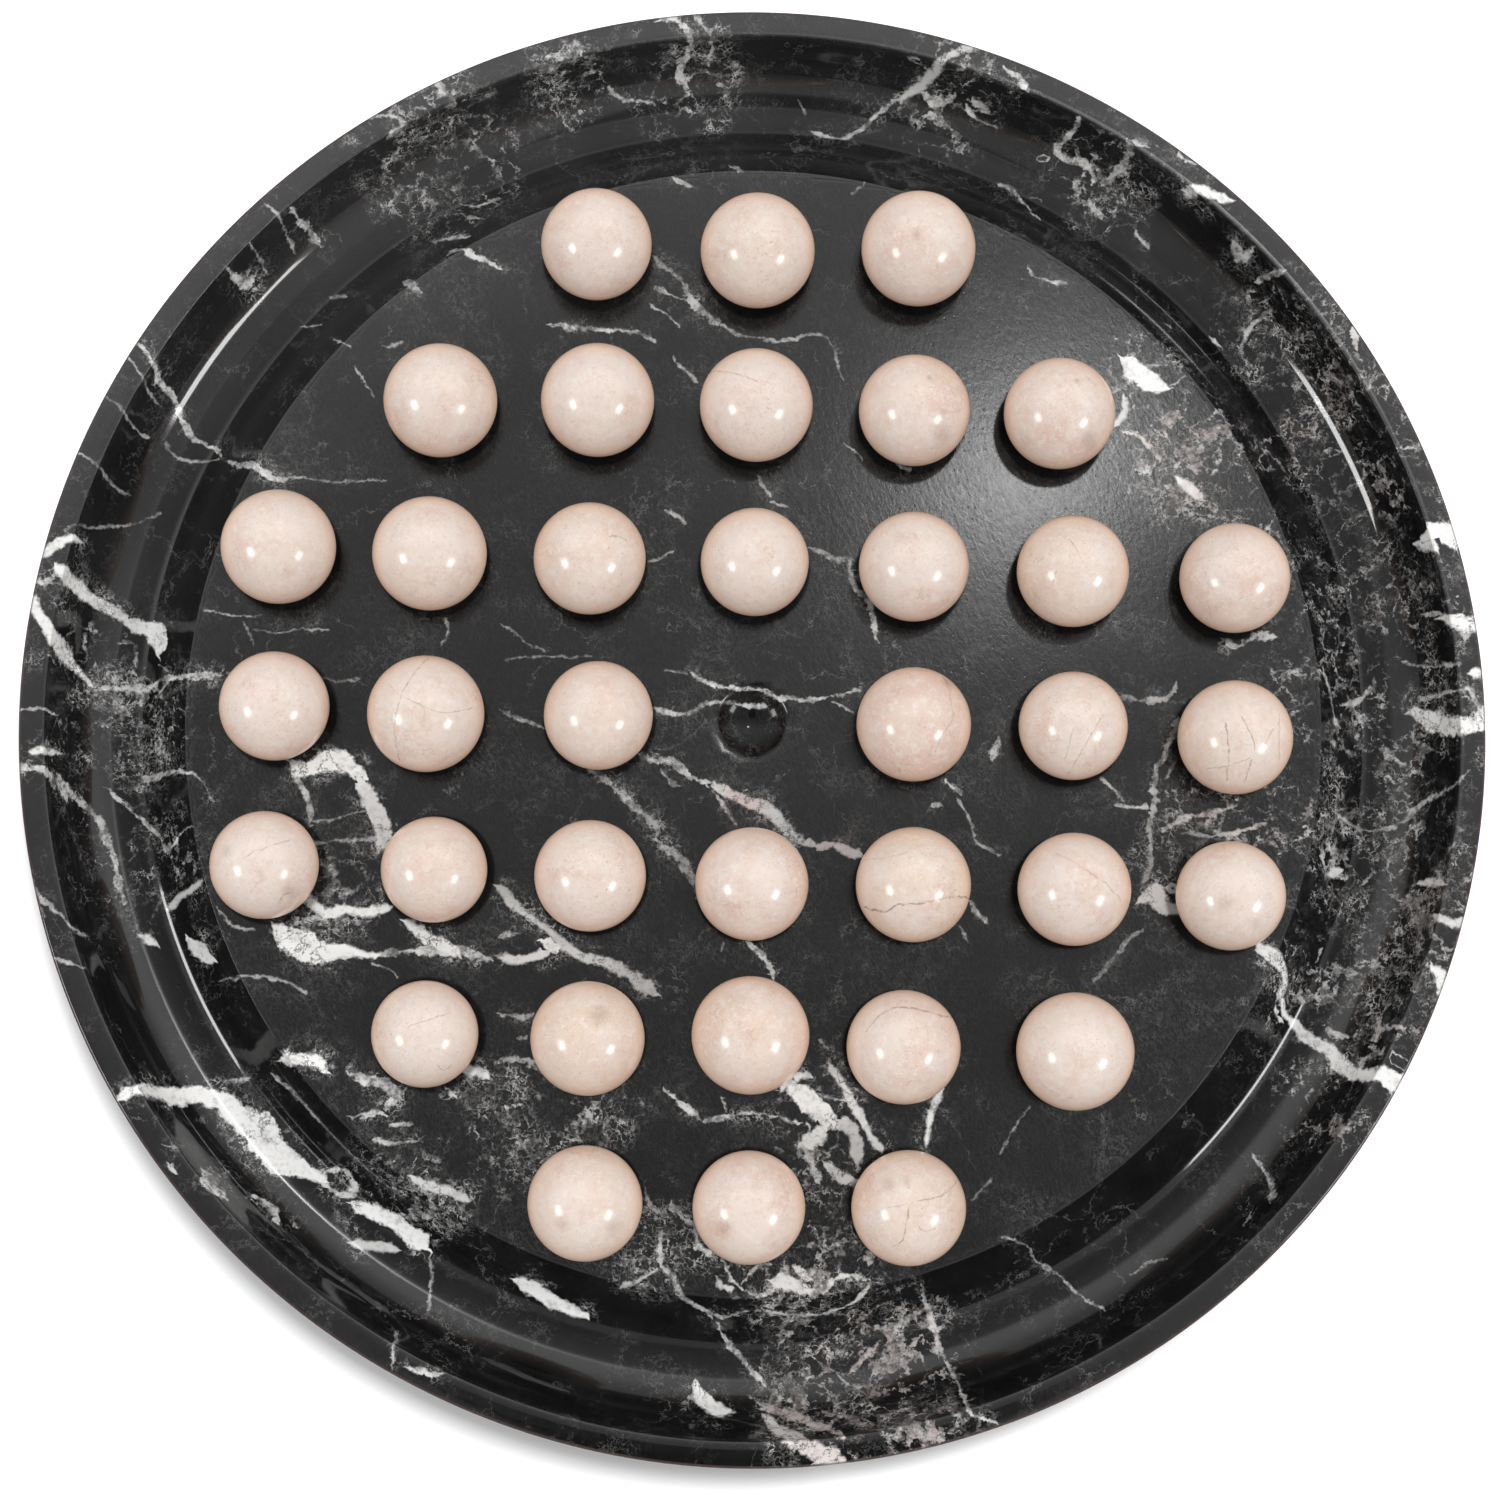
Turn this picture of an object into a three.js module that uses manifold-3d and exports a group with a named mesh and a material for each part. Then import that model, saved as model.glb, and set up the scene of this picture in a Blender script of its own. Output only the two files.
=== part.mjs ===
// French peg-solitaire board: a carved round of marble, a felt backing and 36 stone marbles.
// Millimetres, +Z up. The origin is the middle of the felt's underside, which rests on the table.

import * as THREE from 'three';
import { mergeVertices } from 'three/addons/utils/BufferGeometryUtils.js';
import Module from 'manifold-3d';

const wasm = await Module();
wasm.setup();

// Felt backing glued to the underside of the stone
const FELT_RADIUS = 188;
const FELT_THICKNESS = 2;

// Stone board, heights measured from the table
const BOARD_RADIUS = 200;
const RIM_INNER_RADIUS = 192.8;
const PLATEAU_RADIUS = 156.4;
const RIM_TOP = 32;
const PLATEAU_TOP = 24;
const FOOT_CHAMFER = 1.5;
const RIM_OUTER_EASE = 1;
const RIM_INNER_EASE = 0.5;

// Groove round the plateau: a round-bottomed channel that holds the captured marbles
const GROOVE_CENTRE_RADIUS = 175.4;
const GROOVE_SECTION_RADIUS = 15.5;
const GROOVE_FLOOR = 12;
const GROOVE_OUTER_ANGLE = 74;
const GROOVE_INNER_ANGLE = 42;
const GROOVE_STEPS = 8;

// Seats: a spherical bowl under each marble, smaller in radius than the marble, which sits on its lip
const SEAT_SPHERE_RADIUS = 13.5;
const SEAT_LIP_RADIUS = 10.1;
const SEAT_CLEARANCE = 0.35;

// Grid of seats, drilled by eye: rows and columns each lean a little
const PITCH = 43.5;
const ROW_TURN = -1.6;
const COLUMN_TURN = -0.6;
const GRID_OFFSET = [-1, -1];
const MIDDLE = 4;

// The columns and the marbles' diameters in each row, from the back row to the front; 0 is the empty seat
const ROWS = [
  { firstColumn: 3, diameters: [30.5, 31.5, 31.5] },
  { firstColumn: 2, diameters: [31, 31, 31, 30.5, 30.5] },
  { firstColumn: 1, diameters: [31, 31, 30.5, 29.5, 30, 30.5, 30] },
  { firstColumn: 1, diameters: [29.5, 31.5, 29.5, 0, 31, 29.5, 31] },
  { firstColumn: 1, diameters: [29, 28.5, 30, 30.5, 31, 30.5, 29.5] },
  { firstColumn: 2, diameters: [28.5, 30.5, 31.5, 30.5, 31.5] },
  { firstColumn: 3, diameters: [30.5, 30, 30.5] },
];

// Seats that the drill missed by a millimetre or so, [x, y] off the grid
const STRAY_SEATS = {
  r1_c3: [-1, 0.5],
  r1_c5: [1, 2],
  r2_c2: [0.5, -1.5],
  r2_c6: [-3.5, 0.5],
  r3_c1: [1, 0],
  r3_c2: [-1.5, -0.5],
  r3_c3: [-1.5, -0.5],
  r3_c7: [1, -0.5],
  r4_c1: [1, 0],
  r4_c2: [-1.5, -1],
  r4_c3: [1.5, 0],
  r4_c4: [0, 1],
  r4_c6: [0, 1],
  r4_c7: [0.5, -1],
  r5_c1: [-0.5, 0.5],
  r5_c2: [1.5, 0.5],
  r5_c4: [0, -1],
  r5_c7: [-1, -0.5],
  r6_c4: [0, 2],
  r6_c5: [-2.5, 0],
  r7_c5: [-1, 1],
};

// Facets
const BOARD_SIDES = 64;
const SEAT_SIDES = 12;
const SEAT_RINGS = 10;
const MARBLE_SIDES = 12;
const MARBLE_RINGS = 8;

const blackMarble = new THREE.MeshStandardMaterial({ color: 0x2b2b2d, roughness: 0.3, metalness: 0 });
const pinkMarble = new THREE.MeshStandardMaterial({ color: 0xe3c3ae, roughness: 0.15, metalness: 0 });
const blackFelt = new THREE.MeshStandardMaterial({ color: 0x1c1c1c, roughness: 1, metalness: 0 });

const radians = THREE.MathUtils.degToRad;

// A closed mesh as a solid, with only its positions kept and its shared vertices merged
function toSolid(geometry) {
  geometry.deleteAttribute('normal');
  geometry.deleteAttribute('uv');
  const merged = mergeVertices(geometry);
  return new wasm.Manifold(new wasm.Mesh({
    numProp: 3,
    vertProperties: new Float32Array(merged.attributes.position.array),
    triVerts: new Uint32Array(merged.index.array),
  }));
}

function toGeometry(solid) {
  const mesh = solid.getMesh();
  const geometry = new THREE.BufferGeometry();
  geometry.setAttribute('position', new THREE.BufferAttribute(mesh.vertProperties, 3));
  geometry.setIndex(new THREE.BufferAttribute(mesh.triVerts, 1));
  geometry.computeVertexNormals();
  return geometry;
}

// A sphere with its poles on Z
function sphere(radius, sides, rings) {
  return new THREE.SphereGeometry(radius, sides, rings).rotateX(Math.PI / 2);
}

// A point of the groove's round floor, at an angle from straight down, positive towards the rim
function groovePoint(degrees) {
  const angle = radians(degrees);
  const radius = GROOVE_CENTRE_RADIUS + GROOVE_SECTION_RADIUS * Math.sin(angle);
  const height = GROOVE_FLOOR + GROOVE_SECTION_RADIUS * (1 - Math.cos(angle));
  return new THREE.Vector2(radius, height);
}

// Half of the board's section, from the axis underneath, round the rim and the groove, to the axis on top
function boardSection() {
  const points = [
    new THREE.Vector2(0, FELT_THICKNESS),
    new THREE.Vector2(BOARD_RADIUS - FOOT_CHAMFER, FELT_THICKNESS),
    new THREE.Vector2(BOARD_RADIUS, FELT_THICKNESS + FOOT_CHAMFER),
    new THREE.Vector2(BOARD_RADIUS, RIM_TOP - RIM_OUTER_EASE),
    new THREE.Vector2(BOARD_RADIUS - RIM_OUTER_EASE, RIM_TOP),
    new THREE.Vector2(RIM_INNER_RADIUS + RIM_INNER_EASE, RIM_TOP),
    new THREE.Vector2(RIM_INNER_RADIUS, RIM_TOP - RIM_INNER_EASE),
  ];
  const sweep = GROOVE_OUTER_ANGLE + GROOVE_INNER_ANGLE;
  for (let step = 0; step <= GROOVE_STEPS; step += 1) {
    points.push(groovePoint(GROOVE_OUTER_ANGLE - sweep * step / GROOVE_STEPS));
  }
  points.push(new THREE.Vector2(PLATEAU_RADIUS, PLATEAU_TOP));
  points.push(new THREE.Vector2(0, PLATEAU_TOP));
  return points;
}

// Every seat with its name, its place on the plateau and its marble's diameter
function seatPlan() {
  const seats = [];
  ROWS.forEach(({ firstColumn, diameters }, rowIndex) => {
    diameters.forEach((diameter, columnIndex) => {
      const row = rowIndex + 1;
      const column = firstColumn + columnIndex;
      const name = `r${row}_c${column}`;
      const across = (column - MIDDLE) * PITCH;
      const back = (MIDDLE - row) * PITCH;
      const [strayX, strayY] = STRAY_SEATS[name] ?? [0, 0];
      const x = GRID_OFFSET[0] + strayX
        + across * Math.cos(radians(ROW_TURN)) - back * Math.sin(radians(COLUMN_TURN));
      const y = GRID_OFFSET[1] + strayY
        + across * Math.sin(radians(ROW_TURN)) + back * Math.cos(radians(COLUMN_TURN));
      seats.push({ name, x, y, diameter });
    });
  });
  return seats;
}

// Height of the seat sphere's centre, which leaves the stated lip on the plateau
const seatSphereHeight = PLATEAU_TOP + Math.sqrt(SEAT_SPHERE_RADIUS ** 2 - SEAT_LIP_RADIUS ** 2);

// Height of a marble's centre as it sits on its seat's lip, with the clearance all round
function marbleHeight(diameter) {
  return PLATEAU_TOP + Math.sqrt((diameter / 2 + SEAT_CLEARANCE) ** 2 - SEAT_LIP_RADIUS ** 2);
}

function makeBoard(seats) {
  let stone = toSolid(new THREE.LatheGeometry(boardSection(), BOARD_SIDES).rotateX(Math.PI / 2));
  for (const seat of seats) {
    const bowl = sphere(SEAT_SPHERE_RADIUS, SEAT_SIDES, SEAT_RINGS);
    bowl.translate(seat.x, seat.y, seatSphereHeight);
    stone = stone.subtract(toSolid(bowl));
  }
  const board = new THREE.Mesh(toGeometry(stone), blackMarble);
  board.name = 'board';
  return board;
}

function makeFelt() {
  const disc = new THREE.CylinderGeometry(FELT_RADIUS, FELT_RADIUS, FELT_THICKNESS, BOARD_SIDES);
  const felt = new THREE.Mesh(disc.rotateX(Math.PI / 2), blackFelt);
  felt.name = 'felt_backing';
  felt.position.z = FELT_THICKNESS / 2;
  return felt;
}

function makeMarble({ name, x, y, diameter }) {
  const marble = new THREE.Mesh(sphere(diameter / 2, MARBLE_SIDES, MARBLE_RINGS), pinkMarble);
  marble.name = `marble_${name}`;
  marble.position.set(x, y, marbleHeight(diameter));
  return marble;
}

const seats = seatPlan();
const solitaire = new THREE.Group();
solitaire.add(makeFelt(), makeBoard(seats));
for (const seat of seats.filter(({ diameter }) => diameter > 0)) {
  solitaire.add(makeMarble(seat));
}

export default solitaire;
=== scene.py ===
"""A round solitaire board carved from black marble, with 36 pale stone balls in its seats.

Lengths below are millimetres unless a name says otherwise; Blender's own units are metres.
"""
import math

import bmesh
import bpy
import numpy as np
from mathutils import Matrix, Vector, geometry


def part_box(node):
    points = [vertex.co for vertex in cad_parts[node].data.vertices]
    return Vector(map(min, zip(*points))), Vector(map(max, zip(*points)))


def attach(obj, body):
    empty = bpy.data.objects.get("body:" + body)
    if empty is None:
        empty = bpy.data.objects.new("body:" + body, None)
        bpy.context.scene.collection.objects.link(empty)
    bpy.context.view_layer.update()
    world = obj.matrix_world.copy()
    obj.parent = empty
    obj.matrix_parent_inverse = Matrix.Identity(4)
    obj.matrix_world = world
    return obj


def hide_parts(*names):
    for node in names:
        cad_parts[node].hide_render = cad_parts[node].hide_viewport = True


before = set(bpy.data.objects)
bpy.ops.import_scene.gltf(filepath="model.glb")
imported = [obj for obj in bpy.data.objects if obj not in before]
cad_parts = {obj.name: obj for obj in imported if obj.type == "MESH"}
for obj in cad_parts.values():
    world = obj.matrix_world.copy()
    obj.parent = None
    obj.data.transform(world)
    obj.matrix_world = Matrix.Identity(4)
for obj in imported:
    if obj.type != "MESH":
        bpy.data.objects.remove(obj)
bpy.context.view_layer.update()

MM = 0.001

# Board outline, as in the part: heights from the table
PLATEAU_RADIUS = 156.4
PLATEAU_TOP = 24
ARRIS = 0.1
RIM_INNER_RADIUS = 192.8
RIM_TOP_FROM = 31.5
UNDERSIDE_TO = 2.5
FOOT_CHAMFER = 1.5
RIM_OUTER_EASE = 1.0
RIM_INNER_EASE = 0.6
GROOVE_CENTRE_RADIUS = 175.4
GROOVE_SECTION_RADIUS = 15.5
GROOVE_FLOOR = 12
GROOVE_TURNED = 4.8
GROOVE_OUTER_ANGLE = 74
GROOVE_INNER_ANGLE = 42

# Seats: spherical bowls with a softened lip
SEAT_SPHERE_RADIUS = 13.5
SEAT_LIP_RADIUS = 10.1
LIP_EASE = 0.35
EMPTY_SEAT = (-1, 0)

# Fineness of the meshes
LATHE_SEGMENTS = 432
PLATEAU_SPACING = 2.2
SEAT_SEGMENTS = 40
SEAT_RINGS = 9
FELT_SEGMENTS = 128

# Painted shade round each ball: the stone is painted dark, fading out between these distances from the
# ball's middle
BALL_PAINTED_SHADE_REACH = (16.3, 14.9)

# The rounding of the felt's edges, the floor's half width, and the depths of the stone's and felt's grain
FELT_EASE = 0.4
FLOOR_SIZE = 4000
RELIEF = 0.03
FUZZ = 0.2

# Camera: nearly overhead, a little to the front of the board
CAMERA_PLACE = Vector((-18.87, -92.68, 768.06)) * MM
CAMERA_AIM = Vector((-1.64, -7.88, 24)) * MM
CAMERA_ROLL = 0.0013
CAMERA_LENS = 65.38

# Lamps: the way to each one from the board, and how bright it is
LAMP_LEFT = (-0.78, -0.25, 0.59)
LAMP_RIGHT = (0.75, -0.41, 0.60)
LAMP_OVER = (0.124, 0.213, 0.969)
LAMP_FLOOR = (0.12, 0.20, 0.97)
LAMP_RADIANCE = 15
LAMP_OVER_RADIANCE = 95
LAMP_FLOOR_RADIANCE = 55

# The lamps again: how far off each one is, its width and height, and what the overhead one is aimed at
LAMP_AWAY = 2000
LAMP_SIZE = (540, 370)
LAMP_OVER_AWAY = 1600
LAMP_OVER_SIZE = (70, 70)
LAMP_OVER_AIM = (76.6, 70.8, 24)
LAMP_FLOOR_AWAY = 2400
LAMP_FLOOR_SIZE = (550, 550)

# How honed each part of the board is, from 0, polished, to 1; the rest of it is polished
PLATEAU_HONED = 1.0
LIP_HONED = 0.75
BOWL_HONED = 0.35
RIM_HONED = 0.25

# Stone colours, linear RGB
BLACK_STONE = (0.0024, 0.0024, 0.0026, 1)
CHARCOAL_STONE = (0.0055, 0.0055, 0.0058, 1)
HONED_BLOOM = (0.0070, 0.0070, 0.0073, 1)
EDGE_STONE = (0.075, 0.042, 0.038, 1)
HAZE_STONE = (0.0300, 0.0300, 0.0300, 1)
VEIN_WHITE = (0.77, 0.765, 0.75, 1)
VEIN_GREY = (0.150, 0.146, 0.142, 1)
VEIN_PINK = (0.44, 0.32, 0.30, 1)
VEIN_OCHRE = (0.120, 0.075, 0.040, 1)
BALL_PALE = (0.752, 0.640, 0.572, 1)
BALL_ROSY = (0.703, 0.519, 0.441, 1)
BALL_SANDY = (0.718, 0.553, 0.412, 1)
BALL_MILKY = (0.795, 0.718, 0.669, 1)
# Painted light: the brighter, warmer colour given to the balls' edges seen at a glancing angle
BALL_EDGE_PAINTED_GLOW = (0.980, 0.650, 0.470, 1)
BALL_BROWN = (0.260, 0.140, 0.085, 1)
BALL_CRACK = (0.260, 0.180, 0.145, 1)


# Veins seen on the top of the stone. Each has a whiteness and its route, (x, y, width) at each
# turn, where a turn without a width keeps the one before. Veins that reach WIDE_FROM at their
# widest are ragged bands, and the rest are lines.
WIDE_FROM = 2.0

VEINS_LEFT = (
    # Rim and groove, from the back to the front
    (0.9, (-195, 44, 2.4), (-190, 48), (-186, 49, 1.8)),
    (0.8, (-198, 37, 1.3), (-192, 37), (-191, 42, 1.0)),
    (0.9, (-190, 41, 3.2), (-185, 35), (-180, 32, 2.2), (-175, 29, 3.5)),
    (1.0, (-175, 29, 3.5), (-171, 27, 4.5), (-167, 26, 5.5), (-166, 21, 4.5)),
    (0.9, (-198, 34, 2.6), (-196, 29), (-191, 22), (-189, 16, 2.2), (-184, 11, 1.2)),
    (0.8, (-183, 10, 1.3), (-180, 11, 1.4), (-169, 11), (-164, 13), (-156, 12, 1.5), (-147, 13, 1.6)),
    (0.6, (-166, 17, 0.5), (-163, 15, 0.6), (-162, 12), (-165, 8, 0.5)),
    (0.6, (-178, 23, 0.9), (-173, 23), (-173, 19), (-172, 16, 0.8)),
    (0.6, (-200, 2, 0.7), (-194, 2), (-190, 1, 0.6)),
    (0.8, (-196, -9, 2.2), (-191, -9)),
    (0.7, (-200, -14, 1.9), (-193, -14), (-190, -18), (-185, -23), (-181, -27), (-178, -35), (-177, -40),
     (-174, -49, 1.8)),
    (0.8, (-180, -17, 1.2), (-173, -23), (-166, -30), (-162, -35), (-158, -31, 1.1), (-154, -29, 1.0)),
    (0.7, (-170, -14, 1.4), (-167, -15, 1.2), (-163, -14, 1.0), (-156, -14), (-152, -16, 0.7),
     (-148, -22, 0.5)),
    (0.5, (-199, -37, 1.0), (-194, -48), (-188, -53, 0.9)),
    (0.5, (-197, -44, 0.5), (-191, -55)),
    (0.5, (-193, -64, 0.5), (-186, -66), (-180, -68, 0.4)),
    (0.5, (-188, -52, 0.5), (-185, -56), (-181, -60, 0.4)),
    (0.4, (-189, 51, 0.5), (-181, 54), (-171, 58), (-166, 61, 0.4)),
    (0.6, (-162, -51, 2.0), (-158, -48), (-151, -44, 1.6)),
    (0.9, (-155, -60, 3.8), (-152, -63, 4.4), (-149, -65, 3.2)),
    (0.8, (-169, -58, 2.2), (-165, -61, 2.0)),
)

VEINS_LEFT_PLATEAU = (
    (0.5, (-152, 31, 0.6), (-147, 30), (-142, 29), (-136, 29, 0.5)),
    (0.5, (-142, 28, 0.4), (-139, 24), (-138, 20)),
    (0.5, (-139, 25, 0.4), (-130, 25), (-117, 26)),
    (0.5, (-86, 29, 0.5), (-85, 25), (-87, 21)),
    (0.4, (-119, 12, 1.4), (-115, 11, 1.2), (-108, 12, 0.4)),
    (1.0, (-127, -12, 3.5), (-124, -14), (-117, -11, 6.0), (-112, -12, 5.0), (-108, -15, 4.0)),
    (0.9, (-109, -16, 2.2), (-107, -19, 4.0), (-105, -23, 5.0), (-103, -27, 5.5), (-101, -31, 4.0),
     (-103, -35, 2.4)),
    (0.6, (-126, -15, 1.1), (-124, -19), (-122, -24), (-122, -29, 1.0)),
    (0.6, (-121, -28, 0.7), (-112, -26), (-107, -25)),
    (0.6, (-122, -32, 0.9), (-120, -34), (-115, -33), (-103, -32)),
    (0.9, (-124, -48, 2.4), (-121, -49, 2.6), (-117, -53, 2.8), (-112, -51, 2.6), (-107, -53),
     (-100, -51, 2.4)),
    (0.7, (-123, -54, 1.3), (-118, -54)),
    (1.0, (-131, -56, 2.5), (-128, -58, 5.0), (-124, -61, 8.5), (-119, -64, 6.0), (-114, -63, 4.0),
     (-108, -64, 2.4), (-103, -64, 2.2)),
    (0.7, (-104, -64, 1.9), (-94, -63, 1.8), (-84, -63), (-72, -65)),
    (0.9, (-95, -55, 3.2), (-90, -59, 3.6), (-86, -61), (-81, -64, 2.6)),
    (0.5, (-147, -51, 0.8), (-142, -56), (-136, -57, 0.7)),
    (0.5, (-105, -66, 0.5), (-100, -68), (-97, -71, 0.4)),
    (0.5, (-147, -71, 0.5), (-138, -70), (-130, -71), (-121, -75)),
)

VEINS_BACK_LEFT = (
    (0.7, (-89, 179, 1.6), (-87, 176), (-89, 174, 1.4)),
    (0.5, (-96, 171, 0.6), (-91, 171)),
    (0.7, (-108, 168, 1.0), (-102, 169), (-98, 167), (-103, 163)),
    (0.8, (-129, 143, 1.9), (-126, 140), (-123, 137, 1.7)),
    (0.6, (-136, 144, 0.7), (-132, 140), (-131, 137), (-130, 134, 0.6)),
    (0.8, (-146, 125, 1.9), (-143, 123), (-140, 127, 1.7)),
    (0.6, (-143, 124, 0.9), (-140, 123, 0.8)),
    (0.6, (-140, 132, 1.0), (-138, 128)),
    (0.8, (-171, 104, 1.4), (-168, 102), (-166, 98), (-165, 95), (-162, 90), (-161, 86), (-158, 81),
     (-153, 79), (-150, 76, 1.3)),
    (0.6, (-166, 80, 0.6), (-163, 76), (-158, 75), (-150, 75)),
    (0.8, (-147, 74, 1.5), (-143, 72), (-138, 71), (-134, 68, 1.4), (-130, 67, 1.2)),
    (0.5, (-130, 68, 0.6), (-124, 68, 0.5), (-115, 67), (-102, 67, 0.4)),
    (0.6, (-118, 108, 0.7), (-115, 106), (-112, 104, 0.6)),
    (0.6, (-112, 100, 0.7), (-110, 97), (-108, 95), (-106, 90, 0.6)),
    (0.5, (-179, 88, 0.5), (-174, 85), (-173, 82), (-169, 80)),
    (0.5, (-186, 73, 0.5), (-180, 69), (-178, 66), (-174, 64)),
    (0.5, (-173, 100, 0.5), (-169, 94), (-166, 88)),
    (0.6, (-84, 150, 0.8), (-79, 149), (-72, 152, 0.7)),
    (0.6, (-82, 146, 0.8), (-76, 144, 0.7)),
    (0.7, (-86, 132, 1.4), (-82, 133), (-77, 131), (-71, 128, 1.2)),
    (0.5, (-98, 124, 1.9), (-94, 121, 1.8)),
    (0.5, (-92, 138, 0.9), (-86, 138), (-80, 138, 0.8)),
    (0.4, (-130, 114, 0.5), (-122, 114)),
    (0.4, (-121, 122, 0.5), (-115, 123)),
    (0.4, (-104, 105, 0.8), (-98, 107, 0.7)),
)

VEINS_BACK = (
    (0.8, (-28, 197, 1.4), (-24, 198), (-20, 195, 1.7), (-18, 191), (-21, 188, 1.5), (-22, 186, 1.3),
     (-19, 184, 1.1)),
    (0.6, (-17, 199, 1.2), (-14, 195), (-12, 192), (-13, 189, 1.1)),
    (0.6, (-42, 183, 0.9), (-39, 180), (-34, 180), (-28, 179, 0.8)),
    (0.55, (63, 190, 2.0), (57, 189), (52, 186, 2.2), (49, 184), (47, 182, 2.0), (41, 180, 1.4)),
    (0.55, (41, 180, 1.1), (35, 176, 0.9), (30, 172), (25, 170), (20, 171, 1.0), (16, 172, 0.9)),
    (0.7, (48, 182, 1.4), (51, 180), (54, 179), (57, 180, 1.2)),
    (0.7, (60, 178, 0.9), (65, 174), (70, 172, 0.8)),
    (0.6, (62, 179, 0.8), (65, 177), (67, 175, 0.7)),
    (0.4, (12, 181, 0.6), (15, 177)),
    (0.6, (-29, 131, 1.1), (-24, 127, 1.3), (-20, 124), (-19, 120, 1.9), (-14, 115, 1.8), (-10, 112, 1.7)),
    (0.7, (-28, 123, 0.9), (-23, 120), (-19, 119)),
    (0.6, (-30, 118, 0.6), (-24, 114), (-21, 111)),
    (0.6, (-10, 112, 0.8), (-5, 109), (0, 108), (9, 108), (18, 109, 0.9), (22, 105), (24, 99),
     (25, 96, 0.8)),
    (0.8, (-58, 112, 1.2), (-52, 111), (-46, 111), (-39, 110), (-32, 109), (-28, 107, 1.1)),
    (0.7, (-23, 103, 0.9), (-21, 100), (-18, 98), (-16, 95, 0.8)),
    (0.6, (-23, 154, 1.1), (-18, 152, 1.0)),
    (0.4, (-7, 158, 1.8), (-4, 156, 1.6)),
    (0.4, (27, 150, 0.9), (31, 153, 0.8)),
    (0.7, (1, 69, 0.8), (2, 66), (5, 63, 0.7)),
    (0.7, (39, 73, 0.9), (43, 70)),
    (0.5, (24, 79, 0.6), (28, 76), (30, 73, 0.5)),
)

VEINS_BACK_RIGHT = (
    (0.9, (70, 184, 1.7), (73, 182), (76, 178, 1.5)),
    (0.8, (91, 170, 1.2), (89, 167), (86, 166), (89, 163), (94, 162), (97, 159), (97, 156, 1.1)),
    (0.6, (104, 163, 1.8), (105, 161), (103, 158), (99, 156, 1.6)),
    (0.7, (105, 163, 0.8), (111, 161)),
    (1.0, (121, 150, 2.4), (126, 149), (129, 147), (133, 146, 2.2)),
    (0.7, (118, 160, 0.7), (120, 158), (125, 156)),
    (0.6, (96, 152, 1.1), (100, 147, 1.0)),
    (0.5, (109, 143, 0.9), (113, 138)),
    (0.6, (70, 156, 0.9), (74, 155), (77, 151), (79, 148), (82, 146, 0.8)),
    (0.5, (79, 153, 0.7), (83, 152)),
    (0.8, (134, 136, 1.3), (137, 132), (139, 132, 1.2)),
    (0.7, (142, 126, 1.1), (148, 126)),
    (0.5, (142, 121, 0.6), (146, 121)),
    (0.6, (146, 118, 1.6), (142, 115), (140, 111), (139, 108, 1.4)),
    (0.6, (77, 129, 0.8), (79, 126), (83, 125), (88, 124, 0.7)),
    (1.0, (104, 102, 4.5), (107, 99, 6.0), (111, 96, 5.5), (115, 95, 3.5)),
    (0.6, (115, 95, 1.0), (119, 96, 0.8), (121, 98, 0.7)),
    (0.7, (166, 109, 1.8), (167, 104, 1.7)),
    (0.6, (116, 115, 0.7), (119, 113)),
    (0.7, (130, 112, 1.3), (133, 109, 1.2)),
    (0.7, (102, 82, 1.1), (108, 80), (111, 76), (113, 73)),
    (0.7, (114, 82, 0.8), (116, 78)),
    (0.7, (101, 84, 2.0), (104, 88, 2.2), (103, 92, 1.8)),
    (0.8, (118, 68, 2.4), (121, 66, 3.2), (124, 63, 2.4)),
)

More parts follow.
